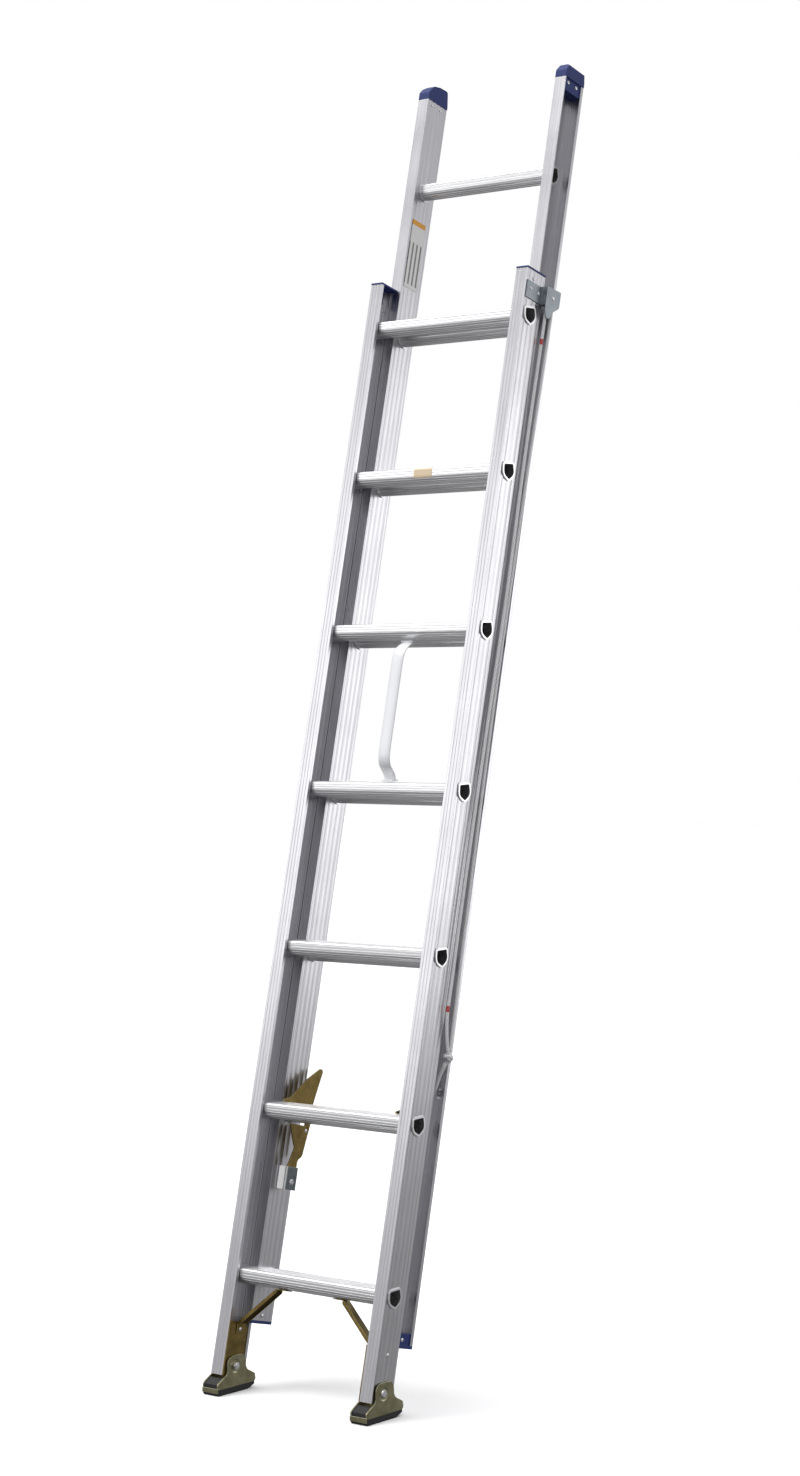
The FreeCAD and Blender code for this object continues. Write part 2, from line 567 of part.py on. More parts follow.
# ---------------------------------------------------------------- guide bracket and pulley
def guide_bracket():
    """A stepped steel plate on the base rail: its outer cheek covers the pulley and the fly's edge."""
    t = BRACKET_THICK
    x0, x1 = BASE_OUT + FIT, BASE_OUT + FIT + t
    cheek = x1 + ROPE_DIAMETER + 3.4
    step = BASE_DEPTH - 6
    back = PULLEY_Y + PULLEY_RADIUS + 11
    nose = BRACKET_LOW - 26
    inner = box(x0, x1, BRACKET_FRONT, PULLEY_Y + 8, BRACKET_LOW, BRACKET_HIGH - 3)
    outline = [(step, BRACKET_HIGH, 0.5), (back, BRACKET_HIGH + 2, 3), (back, BRACKET_LOW + 5, 6),
               (back - 18, BRACKET_LOW - 8, 8), (back - 28, nose, 6), (back - 39, nose, 5),
               (step, nose + 14, 0.5)]
    outer = rounded_yz(outline, cheek, cheek + t)
    wall = box(x1 - t, cheek + t, step, step + t, BRACKET_LOW, BRACKET_HIGH)
    fold = box(FLY_OUT + FLY_PLAY, cheek + t, back, back + t, BRACKET_LOW + 8, BRACKET_HIGH + 2)
    bracket = inner.fuse([outer, wall, fold])
    holes = [rod(V(x0 - 1, PULLEY_Y, PULLEY_Z), V(cheek + t + 1, PULLEY_Y, PULLEY_Z), AXLE_RADIUS + FIT)]
    for y, z in bracket_rivet_places():
        holes.append(rod(V(x0 - 1, y, z), V(x1 + 1, y, z), RIVET_SHANK + FIT))
    return bracket.removeSplitter().cut(holes), x1, cheek


def bracket_rivet_places():
    middle = (BRACKET_LOW + BRACKET_HIGH) / 2
    return [(BRACKET_FRONT + 14, middle + 2), (BRACKET_FRONT + 42, middle)]


def rail_with_bracket_holes(rail):
    holes = [rod(V(WEB_IN - 1, y, z), V(BASE_OUT + 1, y, z), RIVET_SHANK + FIT)
             for y, z in bracket_rivet_places() + [(RUNG_Y - 2, BASE_TOP - 16)]]
    return rail.cut(holes)


bracket, CHEEK_IN, CHEEK_OUT = guide_bracket()
pair("guide_bracket", bracket)
pair("base_rail", rail_with_bracket_holes(nodes["base_rail_right"]))
PULLEY_X = (CHEEK_IN + CHEEK_OUT) / 2

axle = rod(V(CHEEK_IN - BRACKET_THICK, PULLEY_Y, PULLEY_Z), V(CHEEK_OUT + BRACKET_THICK, PULLEY_Y, PULLEY_Z),
           AXLE_RADIUS)
axle = axle.fuse([Part.makeCone(4.6, 3.0, 1.5, V(CHEEK_OUT + BRACKET_THICK, PULLEY_Y, PULLEY_Z), V(1, 0, 0)),
                  Part.makeCone(4.6, 3.6, 1.2, V(CHEEK_IN - BRACKET_THICK, PULLEY_Y, PULLEY_Z), V(-1, 0, 0))])
pair("bracket_pin", axle.removeSplitter())


def pulley():
    """A grooved plastic wheel that the rope runs over."""
    half = (CHEEK_OUT - CHEEK_IN) / 2 - GAP
    groove = ROPE_DIAMETER / 2 + 0.5
    side = [(AXLE_RADIUS + FIT, half), (PULLEY_RADIUS, half), (PULLEY_RADIUS, groove + 0.1),
            (GROOVE_RADIUS + 3.5, groove - 0.1), (GROOVE_RADIUS + 1.2, groove - 0.9),
            (GROOVE_RADIUS, groove - 2.4)]
    outline = side + [(r, -x) for r, x in reversed(side)]
    corners = [V(x, 0, r) for r, x in outline]
    wheel = Part.Face(Part.makePolygon(corners + corners[:1])).revolve(V(0, 0, 0), V(1, 0, 0), 360)
    wheel.translate(V(PULLEY_X, PULLEY_Y, PULLEY_Z))
    return wheel


nodes["pulley_wheel"] = pulley()

base_rivets = []
for y, z in bracket_rivet_places():
    base_rivets.append(rivet(V(WEB_IN, y, z), V(1, 0, 0), BASE_WALL + FIT + BRACKET_THICK))
base_rivets.append(rivet(V(WEB_IN - 2.5, RUNG_Y - 2, BASE_TOP - 16), V(1, 0, 0), BASE_WALL + 2.5))
nodes["base_rivets"] = Part.makeCompound(base_rivets + [mirrored(r) for r in base_rivets])


# ---------------------------------------------------------------- hooks
def latch_bracket():
    """A bent channel on the fly rail, round in front, that the hook's lower end swings in."""
    t = LATCH_THICK
    front = FLY_FLANGE_BACK
    x0, x1 = FLY_IN - LATCH_WIDTH, FLY_IN - FIT
    depth = HOOK_PIVOT.y + 15
    middle, bend = (x0 + x1) / 2, (x1 - x0) / 2
    turn = front + bend
    low = LATCH_LOW
    path = [V(x0, turn, low), V(x0, depth, low), V(x0 + t, depth, low), V(x0 + t, turn, low),
            V(x1 - t, turn, low), V(x1 - t, depth - 4, low), V(x1, depth - 4, low), V(x1, turn, low)]
    edges = [Part.LineSegment(a, b).toShape() for a, b in zip(path[:3], path[1:4])]
    edges.append(Part.Arc(path[3], V(middle, front + t, low), path[4]).toShape())
    edges += [Part.LineSegment(a, b).toShape() for a, b in zip(path[4:7], path[5:8])]
    edges.append(Part.Arc(path[7], V(middle, front, low), path[0]).toShape())
    body = Part.Face(Part.Wire(edges)).extrude(V(0, 0, LATCH_HIGH - LATCH_LOW))
    holes = [rod(V(x0 - 1, HOOK_PIVOT.y, HOOK_PIVOT.z), V(x1 + 1, HOOK_PIVOT.y, HOOK_PIVOT.z),
                 HOOK_PIN + FIT)]
    for y, z in latch_rivet_places():
        holes.append(rod(V(x1 - t - 1, y, z), V(x1 + 1, y, z), RIVET_SHANK + FIT))
    return body.cut(holes)


def hook():
    """A steel plate that straddles a fly rung from behind and rests its nose on a base rung."""
    seat = HOOK_RUNG_Z + RUNG_TOP + HOOK_SEAT
    over = HOOK_RUNG_Z + RUNG_TOP + HOOK_OPENING
    under = HOOK_RUNG_Z - RUNG_TOP - HOOK_OPENING - 2.5
    throat = FLY_RUNG_Y + RUNG_BACK + HOOK_OPENING + 1
    behind = RUNG_Y + RUNG_BACK + 3
    y, z = HOOK_PIVOT.y, HOOK_PIVOT.z
    outline = [(RUNG_Y + 1, seat, 0.8), (RUNG_Y + 1.5, seat + 4, 2), (behind + 2, seat + 11, 12),
               (y + 10, seat + 53, 40), (y + 48, seat + 79, 6), (y + 55, seat + 74, 5),
               (y + 38, HOOK_RUNG_Z + 25, 30), (throat + 17, HOOK_RUNG_Z - 10, 20), (y + 26, z + 53, 14),
               (y + 14, z + 46, 10), (y + 12, z - 11, 11.5), (y - 12, z - 11, 11.5), (y - 15, z + 30, 20),
               (y, z + 70, 8), (y - 7, z + 80, 6), (y - 22, under - 6, 3), (y - 22, under, 1.5),
               (throat, under, 3), (throat, over, 3), (behind, over, 1), (behind, seat, 0.5)]
    inboard = FLY_IN - LATCH_WIDTH + LATCH_THICK + 1.2
    plate = rounded_yz(outline, inboard, inboard + HOOK_THICK)
    holes = [rod(V(inboard - 1, y, z), V(inboard + 9, y, z), HOOK_PIN + FIT),
             rod(V(inboard - 1, *hook_rivet_place()), V(inboard + 9, *hook_rivet_place()),
                 RIVET_SHANK + FIT)]
    return plate.cut(holes), inboard


def hook_rivet_place():
    return HOOK_PIVOT.y + 26, HOOK_PIVOT.z + 106


def hook_spring(inboard):
    """A torsion spring on the hook's pin, with one long arm up to the hook's rivet."""
    wire = 0.8
    mean = HOOK_PIN + 2.2
    start = inboard + HOOK_THICK + 1.0
    y, z = HOOK_PIVOT.y, HOOK_PIVOT.z
    rings = []
    for i in range(4):
        centre = V(start + wire + i * wire * 1.9, y, z)
        rings.append(Part.makeTorus(mean, wire, centre, V(1, 0, 0)))
    anchor_y, anchor_z = hook_rivet_place()
    arm = rod(V(start + wire, y + mean, z), V(start + wire, anchor_y - RIVET_SHANK - 1.2, anchor_z), wire)
    return rings[0].fuse(rings[1:] + [arm])


def hook_pin():
    x0 = FLY_IN - LATCH_WIDTH
    pin = rod(V(x0, HOOK_PIVOT.y, HOOK_PIVOT.z), V(FLY_WEB_OUT, HOOK_PIVOT.y, HOOK_PIVOT.z), HOOK_PIN)
    return pin.fuse([Part.makeCone(6.5, 4.5, 2.0, V(x0, HOOK_PIVOT.y, HOOK_PIVOT.z), V(-1, 0, 0)),
                     Part.makeCone(6.5, 5.0, 1.6, V(FLY_WEB_OUT, HOOK_PIVOT.y, HOOK_PIVOT.z), V(1, 0, 0))])


plate, plate_x = hook()
pair("latch_bracket", latch_bracket())
pair("lock_hook", plate)
pair("hook_pin", hook_pin().removeSplitter())
pair("hook_spring", hook_spring(plate_x))
pair("hook_rivet", rivet(V(plate_x, *hook_rivet_place()), V(1, 0, 0), HOOK_THICK))

fly_rivets = []
for y, z in latch_rivet_places():
    fly_rivets.append(rivet(V(FLY_IN - FIT - LATCH_THICK, y, z), V(1, 0, 0), LATCH_THICK + FIT + FLY_WALL))
for y, z in cap_rivet_places():
    fly_rivets.append(rivet(V(FLY_IN, y, z), V(1, 0, 0), FLY_OUT - FLY_WALL - 0.3 - FLY_IN))
nodes["fly_rivets"] = Part.makeCompound(fly_rivets + [mirrored(r) for r in fly_rivets])


# ---------------------------------------------------------------- grip and labels
def grip():
    """A moulded carrying grip, bowed forward between two base rungs, with a foot at each end."""
    low = (GRIP_RUNG - 1) * PITCH + RUNG_TOP + FIT
    high = GRIP_RUNG * PITCH - RUNG_TOP - FIT
    root = RUNG_Y + 3
    front = root - GRIP_BOW
    t = GRIP_THICK
    span = high - low
    outline = [(root - 9, low, 1), (root + 9, low, 1), (root + 9, low + 3, 1), (root + t / 2, low + 4, 1),
               (front + t + 5, low + 0.10 * span, 20), (front + t, low + 0.18 * span, 40),
               (front + t, low + 0.84 * span, 40), (front + t + 6, low + 0.915 * span, 25),
               (root + t / 2, high - 4, 1), (root + 9, high - 3, 1), (root + 9, high, 1),
               (root - 9, high, 1), (root - 9, high - 3, 1), (root - t / 2 - 3, high - 6, 3),
               (front + 3, low + 0.925 * span, 25), (front, low + 0.85 * span, 40),
               (front, low + 0.17 * span, 40), (front + 4, low + 0.085 * span, 20),
               (root - t / 2 - 3, low + 6, 3), (root - 9, low + 3, 1)]
    body = rounded_yz(outline, GRIP_X - GRIP_WIDTH / 2, GRIP_X + GRIP_WIDTH / 2)
    feet = [box(GRIP_X - GRIP_WIDTH / 2, GRIP_X + GRIP_WIDTH / 2, root - 9, root + 9, *ends)
            for ends in ((low - 8, low + 2.5), (high - 2.5, high + 8))]
    rungs = [rung_bar(RUNG_Y, n * PITCH, FIT, GRIP_X - GRIP_WIDTH, GRIP_X + GRIP_WIDTH)
             for n in (GRIP_RUNG - 1, GRIP_RUNG)]
    body = body.fuse(feet).cut(rungs).removeSplitter()
    holes = [rod(V(GRIP_X + dx, root + 5, z0), V(GRIP_X + dx, root + 5, z0 + 6), RIVET_SHANK + FIT)
             for dx in (-10, 10) for z0 in (low - 1, high - 5)]
    return body.cut(holes)


def label(x0, y, z, width, height):
    """A flat label on the inner face of a rail."""
    return box(x0, x0 + LABEL_THICK, y - width / 2, y + width / 2, z - height / 2, z + height / 2)


nodes["carry_grip"] = grip()
def rung_label():
    """A small label wrapped over the front of a rung."""
    z = (RUNG_LABEL_RUNG - 1) * PITCH
    half = RUNG_LABEL_WIDTH / 2
    skin = rung_bar(RUNG_Y, z, FIT + LABEL_THICK, -half, half).cut(rung_bar(RUNG_Y, z, FIT, -half, half))
    return skin.common(box(-half, half, 0, RUNG_Y - 5, z - RUNG_TOP / 2, z + RUNG_TOP + 1))


nodes["fly_label"] = label(-FLY_IN + FIT, FLY_RUNG_Y - 4, LABEL_Z, LABEL_WIDTH, LABEL_HEIGHT)
nodes["rung_label"] = rung_label()


# ---------------------------------------------------------------- rope
def rounded_path(points, radii):
    """Straight runs joined by tangent arcs, one radius for each inner point."""
    edges = []
    start = points[0]
    for before, corner, after, radius in zip(points, points[1:], points[2:], radii):
        a = (before - corner).normalize()
        b = (after - corner).normalize()
        half = (math.pi - a.getAngle(b)) / 2
        cut = radius * math.tan(half)
        enter, leave = corner + a * cut, corner + b * cut
        middle = corner + (a + b).normalize() * (radius / math.cos(half) - radius)
        if (enter - start).Length > 0.001:
            edges.append(Part.LineSegment(start, enter).toShape())
        edges.append(Part.Arc(enter, middle, leave).toShape())
        start = leave
    edges.append(Part.LineSegment(start, points[-1]).toShape())
    return Part.Wire(edges)


def easy_radii(points, fixed):
    """Each arc is as large as its two runs allow, unless it lies on the pulley."""
    radii = []
    for i in range(1, len(points) - 1):
        a, b = points[i - 1] - points[i], points[i + 1] - points[i]
        half = (math.pi - a.getAngle(b)) / 2
        radii.append(fixed.get(i, 0.45 * min(a.Length, b.Length) / math.tan(half)))
    return radii


def tube(points, fixed):
    radii = easy_radii(points, fixed)
    path = rounded_path(points, radii)
    first = path.Edges[0]
    circle = Part.Wire(Part.makeCircle(ROPE_DIAMETER / 2, points[0], first.tangentAt(first.FirstParameter)))
    solid = path.makePipeShell([circle], True, False)
    print("rope radii", [round(r) for r in radii], "length %.1f" % path.Length,
          "volume ratio %.4f" % (solid.Volume / (math.pi * (ROPE_DIAMETER / 2) ** 2 * path.Length)))
    return solid


ROPE_R = GROOVE_RADIUS + ROPE_DIAMETER / 2 + 0.3
ROPE_FRONT, ROPE_BACK = PULLEY_Y - ROPE_R, PULLEY_Y + ROPE_R
WRAP = ROPE_R * math.tan(math.pi / 8)                  # half of one side of the octagon round the pulley
KNOT = V(BASE_OUT + 5, 88, KNOT_Z)


def strand(y, share):
    """A bend of the rope, at a share of the way up from the knot to the pulley."""
    return V(PULLEY_X, y, KNOT_Z + share * (PULLEY_Z - KNOT_Z))


ROPE_ROUTE = [V(PULLEY_X, KNOT.y - 8, KNOT_Z + KNOT_RADIUS + GAP),
              strand(61, 0.037), strand(62.5, 0.09), strand(60.5, 0.17), strand(63.5, 0.42),
              strand(70.5, 0.595), strand(65.8, 0.765), V(PULLEY_X, ROPE_FRONT, PULLEY_Z - 72),
              V(PULLEY_X, ROPE_FRONT, PULLEY_Z + WRAP),
              V(PULLEY_X, PULLEY_Y - WRAP, PULLEY_Z + ROPE_R),
              V(PULLEY_X, PULLEY_Y + WRAP, PULLEY_Z + ROPE_R),
              V(PULLEY_X, ROPE_BACK, PULLEY_Z + WRAP), V(PULLEY_X, ROPE_BACK, PULLEY_Z - 72),
              strand(83, 0.775), strand(79.5, 0.65), strand(74.8, 0.455), strand(79.5, 0.25),
              strand(85.5, 0.055), V(PULLEY_X, KNOT.y, KNOT_Z + KNOT_RADIUS + GAP)]
nodes["rope"] = tube(ROPE_ROUTE, {corner: ROPE_R for corner in (8, 9, 10, 11)})


def rope_knot():
    """The knot that joins both strands, with two tails knotted behind the fly rail's slot."""
    stopper_at = V(FLY_IN - STOPPER_RADIUS - GAP, ROPE_SLOT_Y, ROPE_SLOT_Z)
    tails = []
    for drop in (4.2, -4.2):
        bend = V(FLY_OUT + 3, ROPE_SLOT_Y - 9, ROPE_SLOT_Z + drop * 2 + 14)
        mouth = V(FLY_WEB_OUT + 9, ROPE_SLOT_Y, ROPE_SLOT_Z + drop)
        tails.append(tube([KNOT + V(0, 0, drop / 2), bend, mouth, stopper_at + V(0, 0, drop)], {}))
    seam_way = V(0, 1, 0)  # keeps each ball's seam away from the tails
    stopper = Part.makeSphere(STOPPER_RADIUS, stopper_at, seam_way)
    return Part.makeSphere(KNOT_RADIUS, KNOT, seam_way).fuse(tails + [stopper])


nodes["rope_knot"] = rope_knot()


# ---------------------------------------------------------------- lean it and write the pieces
def lean(shape):
    shape = shape.copy()
    shape.rotate(V(0, 0, 0), V(1, 0, 0), -LEAN)
    return shape


placed = {name: lean(shape) for name, shape in nodes.items()}
whole = FreeCAD.BoundBox()
for name, shape in placed.items():
    if not name.startswith("rope"):
        whole.add(shape.BoundBox)
origin = V(whole.Center.x, whole.Center.y, whole.ZMin)

os.makedirs("parts", exist_ok=True)
for name, shape in sorted(placed.items()):
    shape.translate(origin * -1)
    shape.exportStep("parts/%s.step" % name)
    if not shape.isValid() or not all(s.isClosed() for s in shape.Shells):
        print("open or invalid:", name)


def in_use(x, y, z):
    """A point of the ladder's own frame, in metres in the leaning frame."""
    point = FreeCAD.Rotation(V(1, 0, 0), -LEAN).multVec(V(x, y, z)) - origin
    return [round(value / 1000, 6) for value in point]


print(len(placed), "pieces; box", [round(n, 1) for n in (whole.XLength, whole.YLength, whole.ZLength)])
print("shoe pivot", in_use(BASE_OUT, SHOE_PIVOT.y, SHOE_PIVOT.z))
print("hook pivot", in_use(plate_x, HOOK_PIVOT.y, HOOK_PIVOT.z))
print("pulley", in_use(PULLEY_X, PULLEY_Y, PULLEY_Z))
print("rung 1", in_use(0, RUNG_Y, 0))
print("rope top", in_use(PULLEY_X, PULLEY_Y, PULLEY_Z + ROPE_R + ROPE_DIAMETER / 2))
print("head", in_use(0, FLY_REAR, FLY_TOP + END_CAP_THICK))
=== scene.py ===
# %% [markdown]
# # An extension ladder in aluminium
#
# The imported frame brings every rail, rung, cap, shoe and hook at its real size. This lesson
# gives each of them the finish it has on the real ladder, and models again the three pieces
# that the frame leaves plain: the braided rope, its knot and the carrying grip.

# %% Load the frame
import json
import math

import bpy
from mathutils import Matrix, Vector


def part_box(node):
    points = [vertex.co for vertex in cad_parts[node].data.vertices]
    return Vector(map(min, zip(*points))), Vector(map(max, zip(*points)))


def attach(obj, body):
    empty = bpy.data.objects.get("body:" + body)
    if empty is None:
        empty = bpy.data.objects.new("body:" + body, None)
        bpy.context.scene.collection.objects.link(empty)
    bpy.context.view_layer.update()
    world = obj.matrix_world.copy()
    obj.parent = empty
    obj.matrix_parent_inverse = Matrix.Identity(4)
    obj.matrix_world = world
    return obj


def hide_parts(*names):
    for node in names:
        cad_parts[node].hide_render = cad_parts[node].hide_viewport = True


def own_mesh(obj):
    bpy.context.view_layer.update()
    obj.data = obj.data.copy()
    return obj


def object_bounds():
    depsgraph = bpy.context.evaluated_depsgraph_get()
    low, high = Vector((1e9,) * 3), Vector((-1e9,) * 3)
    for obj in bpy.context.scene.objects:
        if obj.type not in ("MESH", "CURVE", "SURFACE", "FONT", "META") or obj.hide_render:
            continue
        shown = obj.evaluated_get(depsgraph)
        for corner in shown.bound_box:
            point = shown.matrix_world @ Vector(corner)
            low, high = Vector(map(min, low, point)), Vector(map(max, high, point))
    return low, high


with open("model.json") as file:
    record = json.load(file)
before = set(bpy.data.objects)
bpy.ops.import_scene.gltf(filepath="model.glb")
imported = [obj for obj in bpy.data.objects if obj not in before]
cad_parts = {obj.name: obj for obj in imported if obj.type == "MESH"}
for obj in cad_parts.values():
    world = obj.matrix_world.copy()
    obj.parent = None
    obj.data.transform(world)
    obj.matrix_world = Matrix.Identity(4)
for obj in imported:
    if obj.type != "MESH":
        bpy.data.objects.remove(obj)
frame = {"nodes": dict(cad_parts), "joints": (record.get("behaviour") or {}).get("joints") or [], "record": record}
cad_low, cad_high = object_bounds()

nodes = frame["nodes"]
joints = {joint["name"]: joint for joint in frame["joints"]}

# %% [markdown]
# ## The ladder's own directions
#
# A ladder in use leans. It is easier to think along the rails: X across, Y through the depth
# and Z up the rails, with zero at the lowest rung. One matrix leans that drawing back. Its
# place comes from the bolt that the right shoe swings on, which is known both ways.

# %% From the rails to the room
LEAN = math.radians(12.5)
MM = 0.001
SHOE_BOLT = Vector((202.2, 30.0, -179.5)) * MM
turned = Matrix.Rotation(-LEAN, 4, "X")
shoe_bolt_in_room = Vector(joints["shoe_right_swivel"]["pos_m"])
ALONG = Matrix.Translation(shoe_bolt_in_room - turned @ SHOE_BOLT) @ turned


def on_ladder(x, y, z):
    """A point given in millimetres along the rails, as a place in the room in metres."""
    return ALONG @ (Vector((x, y, z)) * MM)


# %% [markdown]
# ## The camera
#
# A long lens keeps the two rails nearly parallel. It stands to the right of the ladder, level
# with the middle of it, and far enough back to hold the whole height.

# %% Set the camera
CAMERA_PLACE = (3.486, -4.5195, 1.3121)
camera_data = bpy.data.cameras.new("camera")
camera_data.sensor_width = 36.0
camera_data.lens = 68.45
camera = bpy.data.objects.new("camera", camera_data)
bpy.context.scene.collection.objects.link(camera)
bpy.context.scene.camera = camera
looking = Vector((-0.6112, 0.7915, -0.0022)).normalized()
right = Vector((0.7915, 0.6112, 0.0063))
right = (right - looking * right.dot(looking)).normalized()
up = right.cross(looking)
turn = Matrix((right, up, -looking)).transposed().to_4x4()
camera.matrix_world = Matrix.Translation(CAMERA_PLACE) @ turn
print("camera stands", round((camera.location - Vector((0, 0, 1.3))).length, 2), "m away")

# %% [markdown]
# ## The rope's line
#
# One rope runs from its knot up the side of the ladder, over the pulley and down again. Its
# line is a smooth spline whose control points are the bends that the rope really takes:
# straight where it is pulled, and close round the pulley.

# %% Draw the rope's line
ROPE_DIAMETER = 0.007
PULLEY = Vector((209.45, 80.0, 2032.0))
GROOVE = 9.8            # from the pulley's pin to the rope's middle, in millimetres
SHOULDER = 4.06         # control points this far either side of the pin round the turn off
FRONT, BACK = PULLEY.y - GROOVE, PULLEY.y + GROOVE
ROPE_POINTS = [
    (80, 483.4), (61, 530.7), (62.5, 613.3), (60.5, 738), (63.5, 1127.8), (70.5, 1400.6),
    (65.8, 1665.6), (FRONT, 1960), (FRONT, 1990), (FRONT, PULLEY.z - SHOULDER),
    (FRONT, PULLEY.z + SHOULDER), (PULLEY.y - SHOULDER, PULLEY.z + GROOVE),
    (PULLEY.y + SHOULDER, PULLEY.z + GROOVE), (BACK, PULLEY.z + SHOULDER),
    (BACK, PULLEY.z - SHOULDER), (BACK, 1990), (BACK, 1960), (83, 1681.2), (79.5, 1486.4),
    (74.8, 1182.3), (79.5, 862.8), (85.5, 558.7), (88, 483.4),
]


def spline_points(name, control):
    """Points along a smooth spline that has these control points."""
    curve = bpy.data.curves.new(name, "CURVE")
    curve.dimensions = "3D"
    curve.resolution_u = 24
    spline = curve.splines.new("NURBS")
    spline.points.add(len(control) - 1)
    for point, place in zip(spline.points, control):
        point.co = (*place, 1.0)
    spline.order_u = 3
    spline.use_endpoint_u = True
    carrier = bpy.data.objects.new(name, curve)
    bpy.context.scene.collection.objects.link(carrier)
    bpy.context.view_layer.update()
    line = bpy.data.meshes.new_from_object(carrier)
    points = [vertex.co.copy() for vertex in line.vertices]
    bpy.data.objects.remove(carrier)
    bpy.data.meshes.remove(line)
    return points


rope_line = spline_points("rope_line", [on_ladder(PULLEY.x, y, z) for y, z in ROPE_POINTS])

# %% [markdown]
# ## Braiding the rope
#
# A braided rope is eight soft bundles, four turning each way, that pass over and under one
# another. A tube with a fine grid can carry this: each point is lifted by how far it lies
# into the bundle that is on top there. The same number is kept on the mesh, so that the
# finish can paint shade into the gaps.

# %% A tube with a braid in its surface
BUNDLES = 4
RING_STEP = 0.00125
AROUND = 24


def even_points(line, step):
    """The same line, with points at even distances."""
    total = sum((b - a).length for a, b in zip(line, line[1:]))
    count = max(4, round(total / step))
    wanted, walked, index = 0.0, 0.0, 0
    result = []
    for i in range(count + 1):
        wanted = total * i / count
        while index < len(line) - 2 and walked + (line[index + 1] - line[index]).length < wanted:
            walked += (line[index + 1] - line[index]).length
            index += 1
        span = (line[index + 1] - line[index]).length or 1.0
        result.append(line[index].lerp(line[index + 1], min(1.0, (wanted - walked) / span)))
    return result


def braid(turn, along, girth):
    """How high the surface stands, from 0 in a gap to 1 on top of a bundle."""
    pitch = girth / BUNDLES
    u = BUNDLES * turn + along / pitch / 2
    v = BUNDLES * turn - along / pitch / 2
    on_top = (math.floor(u) + math.floor(v)) % 2
    across = (u if on_top else v) % 1.0
    other = (v if on_top else u) % 1.0
    return math.sin(math.pi * across) ** 0.6 * (0.55 + 0.45 * math.sin(math.pi * other))


def braided_tube(name, line, diameter, start=0.0):
    """A rope along a line, closed at both ends, with its braid height on every point."""
    points = even_points(line, RING_STEP)
    radius = diameter / 2
    vertices, faces, heights, runs = [], [], [], []
    side = Vector((1, 0, 0))
    along = start
    for i, point in enumerate(points):
        ahead = (points[min(i + 1, len(points) - 1)] - points[max(i - 1, 0)]).normalized()
        side = (side - ahead * side.dot(ahead)).normalized()
        other = ahead.cross(side)
        if i:
            along += (point - points[i - 1]).length
        for k in range(AROUND):
            share = k / AROUND
            height = braid(share, along, 2 * math.pi * radius)
            reach = radius * (0.84 + 0.16 * height)
            angle = 2 * math.pi * share
            vertices.append(point + (side * math.cos(angle) + other * math.sin(angle)) * reach)
            heights.append(height)
            runs.append(along)
    for i in range(len(points) - 1):
        for k in range(AROUND):
            a, b = i * AROUND + k, i * AROUND + (k + 1) % AROUND
            faces.append((a, b, b + AROUND, a + AROUND))
    faces.append(tuple(range(AROUND))[::-1])
    last = (len(points) - 1) * AROUND
    faces.append(tuple(range(last, last + AROUND)))
    mesh = bpy.data.meshes.new(name)
    mesh.from_pydata(vertices, [], faces)
    for label, values in (("braid_height", heights), ("run", runs)):
        attribute = mesh.attributes.new(label, "FLOAT", "POINT")
        attribute.data.foreach_set("value", values)
    mesh.polygons.foreach_set("use_smooth", [True] * len(mesh.polygons))
    piece = bpy.data.objects.new(name, mesh)
    bpy.context.scene.collection.objects.link(piece)
    print(name, "has", len(vertices), "points along", round(along - start, 3), "m")
    return piece


rope = braided_tube("hauling_rope", rope_line, ROPE_DIAMETER)

# %% [markdown]
# ## Shared effects
#
# Several finishes need the same three things: fine lines that follow a drawn bar, a slow
# unevenness like handling marks, and edges painted bright, partly as rub wear and partly as a
# painted highlight. Each one is a small node group with named inputs, built once. A group gives
# back only values and colours. The shader stays in each material.

# %% Helpers for node groups and materials
def new_group(name, inputs, outputs):
    """An empty shader group with float inputs (name, default) and outputs (name, kind)."""
    group = bpy.data.node_groups.new(name, "ShaderNodeTree")
    for label, default in inputs:
        socket = group.interface.new_socket(label, in_out="INPUT", socket_type="NodeSocketFloat")
        socket.default_value = default
    for label, kind in outputs:
        group.interface.new_socket(label, in_out="OUTPUT", socket_type=kind)
    into = group.nodes.new("NodeGroupInput")
    out = group.nodes.new("NodeGroupOutput")
    return group, into, out


def add(tree, kind, **settings):
    """A node with its properties and its input values set."""
    node = tree.nodes.new(kind)
    for key, value in settings.items():
        if hasattr(node, key):
            setattr(node, key, value)
        else:
            node.inputs[key.replace("_", " ")].default_value = value
    return node


def math_node(tree, operation, first, second=None, clamp=False):
    """One sum. A value is either a number or the socket that it comes from."""
    node = tree.nodes.new("ShaderNodeMath")
    node.operation = operation
    node.use_clamp = clamp
    for socket, value in zip(node.inputs, (first, second)):
        if value is None:
            continue
        if isinstance(value, (int, float)):
            socket.default_value = value
        else:
            tree.links.new(value, socket)
    return node.outputs[0]


